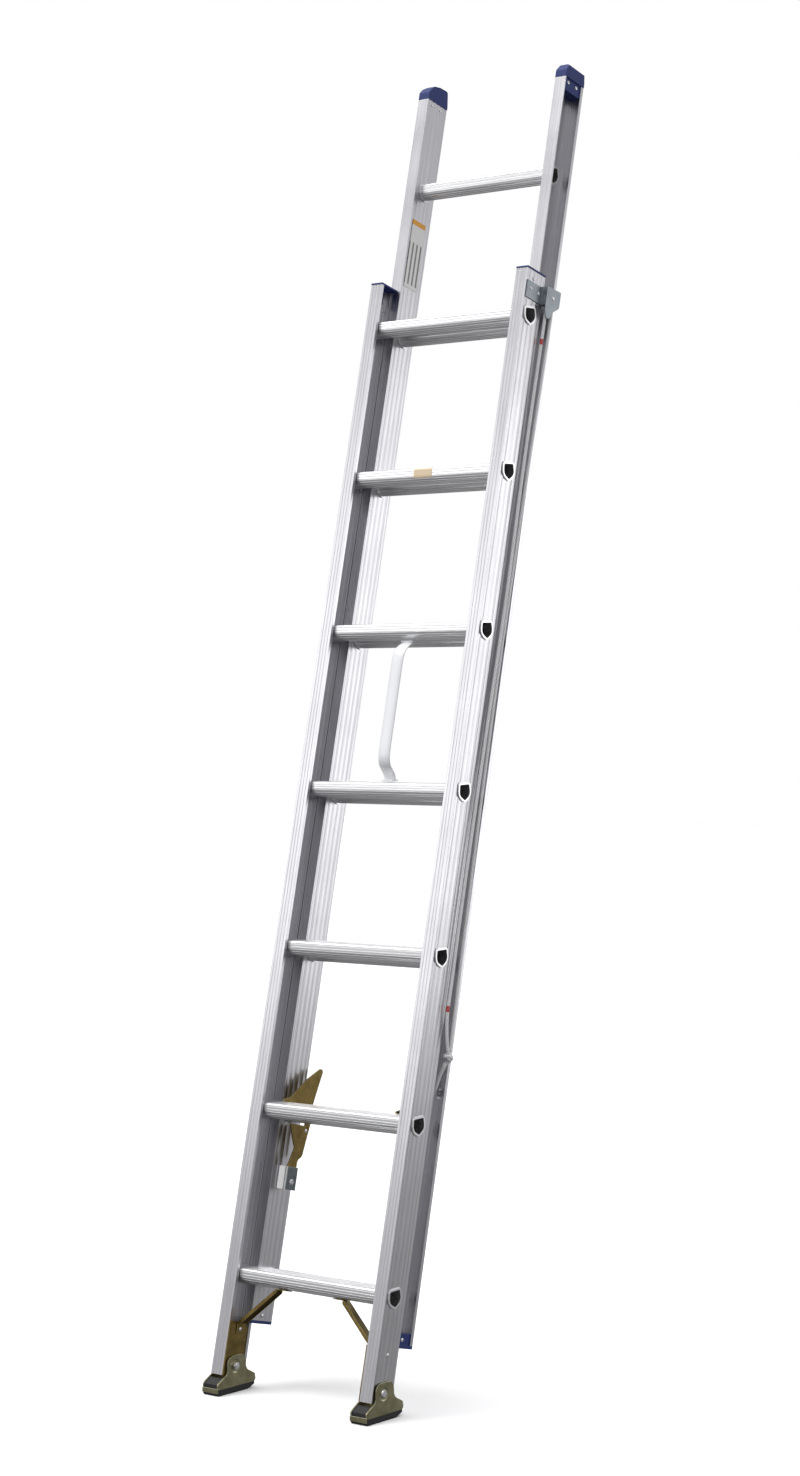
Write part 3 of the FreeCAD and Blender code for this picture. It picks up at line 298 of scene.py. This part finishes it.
# %% Lines along a drawn bar
def drawn_lines_group():
    """Fine lines along the rails, or across the ladder when Across is 1."""
    group, into, out = new_group(
        "drawn_lines", [("Across", 0.0), ("Fineness", 1.0)], [("Lines", "NodeSocketFloat")])
    place = add(group, "ShaderNodeTexCoord")
    lean = add(group, "ShaderNodeMapping")
    lean.inputs["Rotation"].default_value = (LEAN, 0, 0)
    parts = add(group, "ShaderNodeSeparateXYZ")
    joined = add(group, "ShaderNodeCombineXYZ")
    group.links.new(place.outputs["Object"], lean.inputs["Vector"])
    group.links.new(lean.outputs[0], parts.inputs[0])
    fine = math_node(group, "MULTIPLY", into.outputs["Fineness"], 900.0)
    along = 5.0
    span = math_node(group, "SUBTRACT", fine, along)
    x_scale = math_node(group, "SUBTRACT", fine,
                        math_node(group, "MULTIPLY", span, into.outputs["Across"]))
    z_scale = math_node(group, "ADD", along,
                        math_node(group, "MULTIPLY", span, into.outputs["Across"]))
    for axis, scale in (("X", x_scale), ("Y", fine), ("Z", z_scale)):
        stretched = math_node(group, "MULTIPLY", parts.outputs[axis], scale)
        group.links.new(stretched, joined.inputs[axis])
    noise = add(group, "ShaderNodeTexNoise", Scale=1.0, Detail=3.0, Roughness=0.6)
    group.links.new(joined.outputs[0], noise.inputs["Vector"])
    group.links.new(noise.outputs[0], out.inputs["Lines"])
    return group


# %% Handling marks, and edges painted for wear and highlight
def smudges_group():
    """Slow unevenness, from 0 to 1, as hands and dust leave it."""
    group, into, out = new_group("smudges", [("Size", 1.0)], [("Marks", "NodeSocketFloat")])
    place = add(group, "ShaderNodeTexCoord")
    wide = add(group, "ShaderNodeTexNoise", Detail=6.0, Roughness=0.65)
    group.links.new(place.outputs["Object"], wide.inputs["Vector"])
    scale = math_node(group, "DIVIDE", 14.0, into.outputs["Size"])
    group.links.new(scale, wide.inputs["Scale"])
    ramp = add(group, "ShaderNodeMapRange")
    ramp.inputs["From Min"].default_value = 0.35
    ramp.inputs["From Max"].default_value = 0.65
    group.links.new(wide.outputs[0], ramp.inputs["Value"])
    group.links.new(ramp.outputs[0], out.inputs["Marks"])
    return group


def edge_wear_and_highlight_group():
    """How near an edge is, and a normal that rounds it a little."""
    group, into, out = new_group(
        "edge_wear_and_highlight", [("Radius", 0.0008)],
        [("Edge", "NodeSocketFloat"), ("Rounded", "NodeSocketVector")])
    # The Edge mask paints edges pale in the metal finishes: partly rub wear, partly a painted highlight.
    soft = add(group, "ShaderNodeBevel", samples=4)
    flat = add(group, "ShaderNodeNewGeometry")
    dot = add(group, "ShaderNodeVectorMath", operation="DOT_PRODUCT")
    group.links.new(into.outputs["Radius"], soft.inputs["Radius"])
    group.links.new(soft.outputs[0], dot.inputs[0])
    group.links.new(flat.outputs["Normal"], dot.inputs[1])
    turned_away = math_node(group, "SUBTRACT", 1.0, dot.outputs["Value"])
    edge = math_node(group, "MULTIPLY", turned_away, 6.0, clamp=True)
    group.links.new(edge, out.inputs["Edge"])
    group.links.new(soft.outputs[0], out.inputs["Rounded"])
    return group


def fine_grain_group():
    """A small moulded or plated grain, from 0 to 1."""
    group, into, out = new_group("fine_grain", [("Scale", 900.0)], [("Grain", "NodeSocketFloat")])
    place = add(group, "ShaderNodeTexCoord")
    noise = add(group, "ShaderNodeTexNoise", Detail=4.0, Roughness=0.7)
    group.links.new(place.outputs["Object"], noise.inputs["Vector"])
    group.links.new(into.outputs["Scale"], noise.inputs["Scale"])
    group.links.new(noise.outputs[0], out.inputs["Grain"])
    return group


DRAWN_LINES = drawn_lines_group()
SMUDGES = smudges_group()
EDGE_WEAR_AND_HIGHLIGHT = edge_wear_and_highlight_group()
FINE_GRAIN = fine_grain_group()
print("shared effects:", [group.name for group in bpy.data.node_groups])


# %% Building a finish
def use(tree, group, **values):
    """Places a shared effect in a material with its own values."""
    node = tree.nodes.new("ShaderNodeGroup")
    node.node_tree = group
    for key, value in values.items():
        node.inputs[key].default_value = value
    return node.outputs


def blend_colours(tree, factor, first, second):
    """A colour between two, by a factor. Each is a colour or the socket that gives one."""
    node = tree.nodes.new("ShaderNodeMix")
    node.data_type = "RGBA"
    tree.links.new(factor, node.inputs[0])
    for socket, value in ((node.inputs[6], first), (node.inputs[7], second)):
        if isinstance(value, tuple):
            socket.default_value = (*value, 1.0)
        else:
            tree.links.new(value, socket)
    return node.outputs[2]


def between(tree, factor, low, high):
    """A value that goes from low to high as the factor goes from 0 to 1."""
    node = add(tree, "ShaderNodeMapRange")
    node.inputs["To Min"].default_value = low
    node.inputs["To Max"].default_value = high
    tree.links.new(factor, node.inputs["Value"])
    return node.outputs[0]


def new_finish(name, metallic=0.0, ior=1.5, coat=0.0, specular=0.5):
    """A material with one Principled shader, ready to have its colour and roughness linked."""
    material = bpy.data.materials.new(name)
    material.use_nodes = True
    tree = material.node_tree
    shader = tree.nodes["Principled BSDF"]
    shader.inputs["Metallic"].default_value = metallic
    shader.inputs["IOR"].default_value = ior
    shader.inputs["Coat Weight"].default_value = coat
    shader.inputs["Specular IOR Level"].default_value = specular
    return material, tree, shader


def raise_surface(tree, shader, height, distance, rounded=None, strength=1.0):
    """Bump from a height, on top of a rounded normal if one is given."""
    bump = add(tree, "ShaderNodeBump", Strength=strength, Distance=distance)
    tree.links.new(height, bump.inputs["Height"])
    if rounded is not None:
        tree.links.new(rounded, bump.inputs["Normal"])
    tree.links.new(bump.outputs[0], shader.inputs["Normal"])

# %% [markdown]
# ## Aluminium
#
# Rails and rungs are extruded and left as they come from the press: a satin grey with lines
# along the bar. The lines change both the gloss and the height a little. Edges are painted
# brighter: partly rub wear, partly a painted highlight.

# %% Extruded aluminium
def aluminium(name, dark, light, across, roughness, relief):
    material, tree, shader = new_finish(name, metallic=1.0)
    lines = use(tree, DRAWN_LINES, Across=across, Fineness=1.0)["Lines"]
    broad = use(tree, DRAWN_LINES, Across=across, Fineness=0.35)["Lines"]
    marks = use(tree, SMUDGES, Size=1.6)["Marks"]
    edges = use(tree, EDGE_WEAR_AND_HIGHLIGHT, Radius=0.0006)
    colour = blend_colours(tree, broad, dark, light)
    # Edges painted pale: partly rub wear, partly a painted highlight.
    edge_wear_and_sheen = math_node(tree, "MULTIPLY", edges["Edge"], 0.35)
    colour = blend_colours(tree, edge_wear_and_sheen, colour, (0.82, 0.82, 0.83))
    tree.links.new(colour, shader.inputs["Base Color"])
    rough = math_node(tree, "ADD", between(tree, lines, roughness - 0.06, roughness + 0.06),
                      between(tree, marks, -0.02, 0.04))
    tree.links.new(rough, shader.inputs["Roughness"])
    raise_surface(tree, shader, lines, relief, edges["Rounded"], 0.4)
    return material


RAIL_ALUMINIUM = aluminium("rail_aluminium", (0.42, 0.42, 0.445), (0.76, 0.755, 0.775),
                           0.0, 0.30, 0.00003)
RUNG_ALUMINIUM = aluminium("rung_aluminium", (0.74, 0.74, 0.75), (0.81, 0.81, 0.82),
                           1.0, 0.31, 0.000004)
print("aluminium for rails and for rungs")

# %% [markdown]
# ## Plated steel
#
# Two platings show. The hooks, shoes and braces have a yellow passivated zinc: brown gold
# with green and pink clouds. The guide and latch brackets are plain dull zinc, darker and
# bluer, with bends painted bright, partly as rub wear and partly as a painted highlight.

# %% Plated steel
def plated_steel(name, first, second, tint, edge_wear_and_sheen_colour, roughness, cloud_size):
    material, tree, shader = new_finish(name, metallic=0.9)
    clouds = use(tree, SMUDGES, Size=cloud_size)["Marks"]
    small = use(tree, SMUDGES, Size=cloud_size * 0.3)["Marks"]
    grain = use(tree, FINE_GRAIN, Scale=2200.0)["Grain"]
    edges = use(tree, EDGE_WEAR_AND_HIGHLIGHT, Radius=0.0009)
    colour = blend_colours(tree, clouds, first, second)
    colour = blend_colours(tree, math_node(tree, "MULTIPLY", small, 0.45), colour, tint)
    # Edges painted pale: partly rub wear, partly a painted highlight.
    edge_wear_and_sheen = math_node(tree, "MULTIPLY", edges["Edge"], 0.7)
    colour = blend_colours(tree, edge_wear_and_sheen, colour, edge_wear_and_sheen_colour)
    tree.links.new(colour, shader.inputs["Base Color"])
    rough = math_node(tree, "ADD", between(tree, grain, roughness - 0.06, roughness + 0.06),
                      between(tree, clouds, -0.05, 0.05))
    tree.links.new(rough, shader.inputs["Roughness"])
    raise_surface(tree, shader, grain, 0.00005, edges["Rounded"], 0.4)
    return material


YELLOW_ZINC = plated_steel("yellow_passivated_zinc", (0.155, 0.115, 0.028), (0.26, 0.19, 0.055),
                           (0.14, 0.075, 0.035), (0.62, 0.55, 0.30), 0.36, 0.35)
OLIVE_ZINC = plated_steel("olive_passivated_zinc", (0.24, 0.235, 0.12), (0.36, 0.35, 0.22),
                          (0.26, 0.21, 0.13), (0.72, 0.71, 0.58), 0.34, 0.3)
DULL_ZINC = plated_steel("dull_zinc", (0.22, 0.245, 0.265), (0.32, 0.35, 0.37),
                         (0.27, 0.30, 0.33), (0.70, 0.72, 0.75), 0.36, 0.3)
BRIGHT_ZINC = plated_steel("bright_zinc", (0.62, 0.63, 0.65), (0.80, 0.80, 0.82),
                           (0.70, 0.68, 0.62), (0.90, 0.90, 0.91), 0.26, 0.15)
SPRING_WIRE = plated_steel("spring_wire", (0.45, 0.45, 0.46), (0.60, 0.60, 0.62),
                           (0.50, 0.48, 0.44), (0.80, 0.80, 0.81), 0.28, 0.1)


# %% A bracket painted light in front and shaded behind
def depth_lit_steel(name, lit_to_depth):
    """Plate whose rolled front, up to a depth in millimetres, is glossier and painted pale as a painted highlight;
    behind it the plate is painted dark as painted shade.
    """
    material, tree, shader = new_finish(name, metallic=1.0)
    place = add(tree, "ShaderNodeTexCoord")
    lean = add(tree, "ShaderNodeMapping")
    lean.inputs["Rotation"].default_value = (LEAN, 0, 0)
    parts = add(tree, "ShaderNodeSeparateXYZ")
    tree.links.new(place.outputs["Object"], lean.inputs["Vector"])
    tree.links.new(lean.outputs[0], parts.inputs[0])
    limit = (Matrix.Rotation(LEAN, 4, "X") @ on_ladder(0, lit_to_depth, 0)).y
    fade = 0.0015
    ramp = add(tree, "ShaderNodeMapRange")
    ramp.inputs["From Min"].default_value = limit - fade
    ramp.inputs["From Max"].default_value = limit + fade
    tree.links.new(parts.outputs["Y"], ramp.inputs["Value"])
    dull_and_shaded = ramp.outputs[0]
    clouds = use(tree, SMUDGES, Size=0.2)["Marks"]
    grain = use(tree, FINE_GRAIN, Scale=2200.0)["Grain"]
    edges = use(tree, EDGE_WEAR_AND_HIGHLIGHT, Radius=0.0009)
    # Painted shade: the plate behind the front is dark. The front is painted near-white as a painted highlight.
    shaded_plate = blend_colours(tree, clouds, (0.115, 0.135, 0.145), (0.17, 0.19, 0.20))
    colour = blend_colours(tree, dull_and_shaded, (0.90, 0.90, 0.89), shaded_plate)
    # Edges painted pale: partly rub wear, partly a painted highlight.
    edge_wear_and_sheen = math_node(tree, "MULTIPLY", edges["Edge"], 0.5)
    colour = blend_colours(tree, edge_wear_and_sheen, colour, (0.8, 0.8, 0.8))
    tree.links.new(colour, shader.inputs["Base Color"])
    rough = math_node(tree, "ADD", between(tree, dull_and_shaded, 0.10, 0.34),
                      between(tree, grain, -0.03, 0.05))
    tree.links.new(rough, shader.inputs["Roughness"])
    raise_surface(tree, shader, grain, 0.00003, edges["Rounded"], 0.3)
    return material


# Up to this depth the latch bracket is painted pale as a painted highlight, and behind it dark as painted shade.
LIT_FRONT_DEPTH = 68.0       # the rolled front of a latch bracket ends here
LATCH_STEEL = depth_lit_steel("latch_steel", LIT_FRONT_DEPTH)

# %% [markdown]
# ## Plastic and rubber
#
# Moulded plastic has a fine even grain and scuffs that are paler on its edges. The blue caps
# are low in gloss, the white grip is high, and the rubber soles are matt with pale dust.

# %% Moulded pieces
def moulded(name, colour, scuff, roughness, grain_scale, grain_height, edge_share=0.5, coat=0.0):
    material, tree, shader = new_finish(name, ior=1.49, coat=coat)
    grain = use(tree, FINE_GRAIN, Scale=grain_scale)["Grain"]
    marks = use(tree, SMUDGES, Size=0.5)["Marks"]
    edges = use(tree, EDGE_WEAR_AND_HIGHLIGHT, Radius=0.0014)
    patchy = math_node(tree, "MULTIPLY", marks, edge_share)
    worn = math_node(tree, "MULTIPLY", edges["Edge"], patchy)
    dust = math_node(tree, "MULTIPLY", marks, 0.12)
    base = blend_colours(tree, dust, colour, scuff)
    tree.links.new(blend_colours(tree, worn, base, scuff), shader.inputs["Base Color"])
    rough = math_node(tree, "ADD", between(tree, grain, roughness - 0.05, roughness + 0.05),
                      between(tree, marks, -0.03, 0.07))
    tree.links.new(rough, shader.inputs["Roughness"])
    raise_surface(tree, shader, grain, grain_height, edges["Rounded"], 0.5)
    return material


BLUE_PLASTIC = moulded("blue_plastic", (0.003, 0.018, 0.14), (0.02, 0.06, 0.26),
                       0.55, 1500.0, 0.0001)
BLACK_RUBBER = moulded("black_rubber", (0.010, 0.010, 0.011), (0.06, 0.06, 0.06),
                       0.66, 1100.0, 0.0002)
BLACK_NYLON = moulded("black_nylon", (0.020, 0.020, 0.022), (0.12, 0.12, 0.12),
                      0.40, 1800.0, 0.00006)
WHITE_PLASTIC = moulded("white_plastic", (0.82, 0.83, 0.85), (0.64, 0.65, 0.68), 0.20, 700.0,
                        0.00004, 0.2, coat=0.3)
print("finishes so far:", [m.name for m in bpy.data.materials])

# %% [markdown]
# ## Rope and films
#
# White braided cord has painted shade darkening its gaps, and a red tracer at long intervals
# tells the user how much has run. Both follow the rope, so they read the numbers kept on its
# mesh. The printed films are left blank: a coloured band and plain bars, with no words.

# %% Rope finish
TRACERS = (0.082, 1.455)
TRACER_LENGTH = 0.012


def braided_fibre(name):
    material, tree, shader = new_finish(name, specular=0.3)
    height = add(tree, "ShaderNodeAttribute", attribute_name="braid_height").outputs["Fac"]
    run = add(tree, "ShaderNodeAttribute", attribute_name="run").outputs["Fac"]
    grain = use(tree, FINE_GRAIN, Scale=3500.0)["Grain"]
    marks = use(tree, SMUDGES, Size=0.4)["Marks"]
    # Painted shade: where the braid height is low, in the gaps between bundles, the cord is painted dark grey. The
    # red tracer is kept out of this painted shade.
    gap_shade_mask = add(tree, "ShaderNodeMapRange")
    gap_shade_mask.inputs["From Min"].default_value = 0.10
    gap_shade_mask.inputs["From Max"].default_value = 0.55
    tree.links.new(height, gap_shade_mask.inputs["Value"])
    colour = blend_colours(tree, gap_shade_mask.outputs[0], (0.16, 0.16, 0.17), (0.86, 0.86, 0.87))
    handled = math_node(tree, "MULTIPLY", marks, 0.25)
    colour = blend_colours(tree, handled, colour, (0.60, 0.59, 0.57))
    red = None
    for place in TRACERS:
        away = math_node(tree, "ABSOLUTE", math_node(tree, "SUBTRACT", run, place))
        near = math_node(tree, "LESS_THAN", away, TRACER_LENGTH / 2)
        red = near if red is None else math_node(tree, "MAXIMUM", red, near)
    red = math_node(tree, "MULTIPLY", red, gap_shade_mask.outputs[0])
    colour = blend_colours(tree, red, colour, (0.55, 0.03, 0.03))
    tree.links.new(colour, shader.inputs["Base Color"])
    tree.links.new(between(tree, grain, 0.62, 0.88), shader.inputs["Roughness"])
    raise_surface(tree, shader, grain, 0.0002, strength=0.6)
    return material


ROPE_FIBRE = braided_fibre("rope_fibre")
rope.data.materials.append(ROPE_FIBRE)


# %% Printed films
def film(name, ground, band, bars, node_name, band_share, across):
    """A film with a coloured band at its top and plain bars below, placed by its own box."""
    low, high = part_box(node_name)
    middle = ALONG.inverted() @ ((low + high) / 2)
    size = high - low
    height = size.z / math.cos(LEAN)
    material, tree, shader = new_finish(name)
    place = add(tree, "ShaderNodeTexCoord")
    lean = add(tree, "ShaderNodeMapping")
    lean.inputs["Rotation"].default_value = (LEAN, 0, 0)
    parts = add(tree, "ShaderNodeSeparateXYZ")
    tree.links.new(place.outputs["Object"], lean.inputs["Vector"])
    tree.links.new(lean.outputs[0], parts.inputs[0])
    base = (Matrix.Rotation(LEAN, 4, "X") @ ((low + high) / 2))
    up = math_node(tree, "DIVIDE", math_node(tree, "SUBTRACT", parts.outputs["Z"], base.z), height)
    side = math_node(tree, "SUBTRACT", parts.outputs[across], base.x if across == "X" else base.y)
    in_band = math_node(tree, "GREATER_THAN", up, 0.5 - band_share)
    colour = blend_colours(tree, in_band, ground, band)
    striped = math_node(tree, "SINE", math_node(tree, "MULTIPLY", side, bars[0]))
    long_way = math_node(tree, "LESS_THAN", up, bars[1])
    inside = math_node(tree, "GREATER_THAN", up, bars[2])
    bar = math_node(tree, "MULTIPLY", math_node(tree, "GREATER_THAN", striped, 0.35),
                    math_node(tree, "MULTIPLY", long_way, inside))
    colour = blend_colours(tree, math_node(tree, "MULTIPLY", bar, 0.8), colour, (0.05, 0.05, 0.05))
    tree.links.new(colour, shader.inputs["Base Color"])
    grain = use(tree, FINE_GRAIN, Scale=1500.0)["Grain"]
    tree.links.new(between(tree, grain, 0.35, 0.45), shader.inputs["Roughness"])
    print(name, "is centred", tuple(round(v * 1000) for v in middle), "mm along the rails")
    return material


RAIL_FILM = film("rail_film", (0.80, 0.80, 0.78), (0.80, 0.36, 0.02), (470.0, 0.16, -0.42),
                 "fly_label", 0.10, "Y")
RUNG_FILM = film("rung_film", (0.78, 0.62, 0.42), (0.85, 0.76, 0.60), (0.0, 0.0, -0.5),
                 "rung_label", 0.2, "X")

# %% [markdown]
# ## Dressing the frame
#
# Every piece of the frame takes the finish of its material slot. The films each have their
# own, because their pattern is placed on them.

# %% Give each frame piece its finish
FINISH_OF_SLOT = {
    "aluminium_rail": RAIL_ALUMINIUM, "aluminium_rung": RUNG_ALUMINIUM,
    "blue_plastic": BLUE_PLASTIC, "black_rubber": BLACK_RUBBER,
    "yellow_passivated_steel": YELLOW_ZINC, "galvanised_steel": DULL_ZINC,
    "black_plastic": BLACK_NYLON, "white_plastic": WHITE_PLASTIC, "white_rope": ROPE_FIBRE,
    "label_film": RAIL_FILM, "spring_steel": SPRING_WIRE, "zinc_fastener": BRIGHT_ZINC,
}
slot_of = {part["node"]: part["material_slot"] for part in frame["record"]["subparts"]}
for name, piece in nodes.items():
    piece.data.materials.clear()
    piece.data.materials.append(FINISH_OF_SLOT[slot_of[name]])
nodes["rung_label"].data.materials[0] = RUNG_FILM
for side in ("left", "right"):
    nodes["shoe_" + side].data.materials[0] = OLIVE_ZINC
    nodes["latch_bracket_" + side].data.materials[0] = LATCH_STEEL
print("dressed", len(nodes), "frame pieces")

# %% [markdown]
# ## The knot
#
# Both ends of the rope go through one knot, then side by side into the slot of the fly rail.
# Each strand is one smooth spline that winds round the other, with the rope's own braid. The
# strands tighten on each other, so their turns are only a little wider than the rope. A ring
# behind the slot stands for the stopper that keeps them from pulling out.

# %% Tie the knot
STRAND_ONE = [
    (209.45, 80, 490), (209.4, 80.5, 484), (209, 82, 479), (212.5, 90, 474), (209, 97, 472),
    (201, 95, 473), (200.5, 86, 476), (206, 80, 474), (212, 84, 468), (210, 92, 465),
    (203, 93, 462), (196.5, 93, 452), (187, 96.5, 437), (179, 102, 419), (174, 105.5, 407),
    (165, 106, 406.2), (156, 106, 405.5),
]
STRAND_TWO = [
    (209.45, 88.2, 490), (209.2, 88, 485), (206, 89, 480), (200, 88, 475), (202, 80, 471),
    (209, 79, 472), (214, 85, 473), (212, 94, 469), (204, 97, 467), (199, 92, 463),
    (201, 86, 456), (194, 89, 445), (185, 93, 430), (178, 100, 412), (173, 105, 400),
    (165, 106, 398.2), (156, 106, 398.5),
]
print("the strands turn at", len(STRAND_ONE), "and", len(STRAND_TWO), "places")

# %% Braid the strands
KNOT_START = 0.4        # where their braid begins, clear of the red tracers
knot_strands = []
for order, control in enumerate((STRAND_ONE, STRAND_TWO)):
    line = spline_points("strand_line", [on_ladder(*place) for place in control])
    knot_strands.append(braided_tube("strand_%d" % order, line, ROPE_DIAMETER, start=KNOT_START))

# %% Add the stopper and join
stopper_place = on_ladder(156, 106, 402)
bpy.ops.object.select_all(action="DESELECT")
# The stopper ring has no braid height, so the rope finish paints all of it in its dark gap shade.
bpy.ops.mesh.primitive_torus_add(major_radius=0.0052, minor_radius=0.0036,
                                 major_segments=40, minor_segments=20,
                                 location=stopper_place, rotation=(0, math.pi / 2, 0))
for piece in knot_strands + [bpy.context.object]:
    piece.select_set(True)
bpy.context.view_layer.objects.active = knot_strands[0]
bpy.ops.object.join()
knot = knot_strands[0]
knot.name = knot.data.name = "hauling_knot"
knot.data.materials.clear()
knot.data.materials.append(ROPE_FIBRE)
bpy.ops.object.shade_smooth()
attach(knot, "fly")
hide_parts("rope_knot")
print("the knot has", len(knot.data.vertices), "points")

# %% [markdown]
# ## The carrying grip
#
# The grip is one moulded strap. It leaves the top of one rung, bows out towards the climber,
# runs straight and turns back to the underside of the rung above. Its section is a flat oval
# with a hollow down the front. It could be a bevelled curve, but extruding one ring along the
# line lets the hollow be pressed in once, before the ring travels.

# %% The grip's line
GRIP_X = 10.0
GRIP_STEP = 0.006
GRIP_LINE = [
    (30.5, 1010), (29, 1018), (20, 1026), (6, 1036), (0.5, 1050), (-1, 1070), (-1, 1110),
    (-1, 1180), (-1, 1240), (-0.5, 1262), (5, 1279), (19, 1292), (29, 1298), (31, 1300.5),
]
grip_curve = spline_points("grip_line", [on_ladder(GRIP_X, y, z) for y, z in GRIP_LINE])
grip_line = even_points(grip_curve, GRIP_STEP)
print("the grip's line has", len(grip_line), "points")

# %% Press the hollow into one ring
HALF_WIDTH, HALF_THICK = 0.0145, 0.0032
HOLLOW_HALF, HOLLOW_DEPTH = 0.0055, 0.0016
bpy.ops.object.select_all(action="DESELECT")
bpy.ops.mesh.primitive_circle_add(vertices=28, radius=1.0, location=grip_line[0])
grip = bpy.context.object
grip.name = grip.data.name = "moulded_grip"
bpy.ops.object.mode_set(mode="EDIT")
bpy.ops.mesh.select_all(action="SELECT")
bpy.ops.transform.resize(value=(HALF_WIDTH, HALF_THICK, 1.0), center_override=grip_line[0])
bpy.ops.object.mode_set(mode="OBJECT")
bpy.ops.object.transform_apply(location=True, rotation=True, scale=True)
for vertex in grip.data.vertices:
    across = abs(vertex.co.x - grip_line[0].x)
    vertex.select = across < HOLLOW_HALF and vertex.co.y < grip_line[0].y
bpy.ops.object.mode_set(mode="EDIT")
bpy.ops.transform.translate(value=(0, HOLLOW_DEPTH, 0))
bpy.ops.mesh.select_all(action="SELECT")
print("the ring has", len(grip.data.vertices), "points")

# %% Carry the ring along the line
heading = Vector((0, 0, 1))
for here, ahead in zip(grip_line, grip_line[1:]):
    step = ahead - here
    bpy.ops.mesh.extrude_region_move(TRANSFORM_OT_translate={"value": step})
    tilt = math.atan2(step.y, step.z) - math.atan2(heading.y, heading.z)
    bpy.ops.transform.rotate(value=tilt, orient_axis="X", center_override=ahead)
    heading = step
bpy.ops.mesh.edge_face_add()
bpy.ops.mesh.select_all(action="SELECT")
bpy.ops.mesh.normals_make_consistent(inside=False)
bpy.ops.object.mode_set(mode="OBJECT")
print("the strap has", len(grip.data.polygons), "faces")

# %% Give the grip its feet
FOOT_SIZE = (0.030, 0.019, 0.003)
FOOT_Y, FOOT_HEIGHTS = 30.5, (1010.5, 1299.5)
TREAD_TILT = math.radians(15.0)
feet = []
for height in FOOT_HEIGHTS:
    bpy.ops.mesh.primitive_cube_add(size=1.0, location=on_ladder(GRIP_X, FOOT_Y, height))
    foot = bpy.context.object
    foot.scale = FOOT_SIZE
    foot.rotation_euler = (TREAD_TILT - LEAN, 0, 0)
    bpy.ops.object.transform_apply(location=True, rotation=True, scale=True)
    rounding = foot.modifiers.new("rounding", "BEVEL")
    rounding.width = 0.0012
    rounding.segments = 3
    bpy.ops.object.modifier_apply(modifier="rounding")
    feet.append(foot)
bpy.ops.object.select_all(action="DESELECT")
for piece in feet + [grip]:
    piece.select_set(True)
bpy.context.view_layer.objects.active = grip
bpy.ops.object.join()
bpy.ops.object.shade_smooth_by_angle(angle=math.radians(40))
grip.data.materials.clear()
grip.data.materials.append(WHITE_PLASTIC)
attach(grip, "base")
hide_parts("carry_grip")
print("the grip has", len(grip.data.polygons), "faces")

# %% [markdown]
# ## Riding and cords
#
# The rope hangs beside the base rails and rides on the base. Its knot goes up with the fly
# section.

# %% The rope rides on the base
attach(rope, "base")
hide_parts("rope")
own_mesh(rope)

# %% [markdown]
# ## The room
#
# A pale floor under a wide soft light from above. The metal mirrors what stands round it, so
# the surroundings are a plain gradient, dark below and light above, with one soft panel in
# front on the left and one behind on the right. The floor takes shadows but isn't mirrored
# and throws no light back, because it would fill the undersides. The gradient is there only
# for reflections and light: behind the ladder the camera sees plain white.

# %% Lay the floor
bpy.ops.object.select_all(action="DESELECT")
bpy.ops.mesh.primitive_plane_add(size=60, location=(0, 0, cad_low.z))
floor = bpy.context.object
floor.name = "floor"
floor.visible_glossy = False
floor.visible_diffuse = False
floor_paint, _, floor_shader = new_finish("pale_floor", specular=0.0)
floor_shader.inputs["Base Color"].default_value = (0.93, 0.93, 0.93, 1)
floor_shader.inputs["Roughness"].default_value = 0.9
floor.data.materials.append(floor_paint)
print("the floor lies at", round(floor.location.z, 4), "m")

# %% The surroundings
sky = bpy.data.worlds.new("sky")
bpy.context.scene.world = sky
sky.use_nodes = True
air = sky.node_tree
seen = air.nodes["Background"]
seen.inputs["Color"].default_value = (1, 1, 1, 1)
way = add(air, "ShaderNodeTexCoord")
way_parts = add(air, "ShaderNodeSeparateXYZ")
air.links.new(way.outputs["Generated"], way_parts.inputs[0])
shade = air.nodes.new("ShaderNodeValToRGB")
shade.color_ramp.elements[0].position = 0.0
shade.color_ramp.elements[0].color = (0.16, 0.16, 0.165, 1)
shade.color_ramp.elements[1].position = 1.0
shade.color_ramp.elements[1].color = (0.95, 0.95, 0.96, 1)
for position, value in ((0.42, 0.30), (0.50, 0.60), (0.66, 0.64)):
    shade.color_ramp.elements.new(position).color = (value, value, value * 1.02, 1)
half_height = math_node(air, "MULTIPLY", way_parts.outputs["Z"], 0.5)
air.links.new(math_node(air, "ADD", half_height, 0.5), shade.inputs[0])
around = add(air, "ShaderNodeBackground")
air.links.new(shade.outputs[0], around.inputs["Color"])
eye = add(air, "ShaderNodeLightPath")
either = air.nodes.new("ShaderNodeMixShader")
air.links.new(eye.outputs["Is Camera Ray"], either.inputs[0])
air.links.new(around.outputs[0], either.inputs[1])
air.links.new(seen.outputs[0], either.inputs[2])
air.links.new(either.outputs[0], air.nodes["World Output"].inputs["Surface"])
print("the surroundings have", len(shade.color_ramp.elements), "shades")


# %% Lamps
def lamp(name, place, aim, size, power):
    """A square soft lamp that points at a place."""
    bpy.ops.object.light_add(type="AREA", location=place)
    light = bpy.context.object
    light.name = name
    light.data.shape = "SQUARE"
    light.data.size = size
    light.data.energy = power
    way = Vector(aim) - Vector(place)
    light.rotation_euler = way.to_track_quat("-Z", "Y").to_euler()
    return light


lamp("front_panel", (-2.7, -3.4, 2.7), (0, 0, 1.3), 2.4, 22)
lamp("back_panel", (2.6, 3.4, 1.5), (0, 0, 0.9), 2.4, 27)
bpy.ops.object.light_add(type="SUN", location=(0, 0, 5))
overhead = bpy.context.object
overhead.name = "overhead"
overhead.data.energy = 2.1
overhead.data.angle = math.radians(50)
overhead.rotation_euler = Vector((0.28, 0.34, -0.9)).to_track_quat("-Z", "Y").to_euler()
bpy.context.scene.view_settings.view_transform = "Standard"
print("lamps:", [light.name for light in bpy.data.lights])
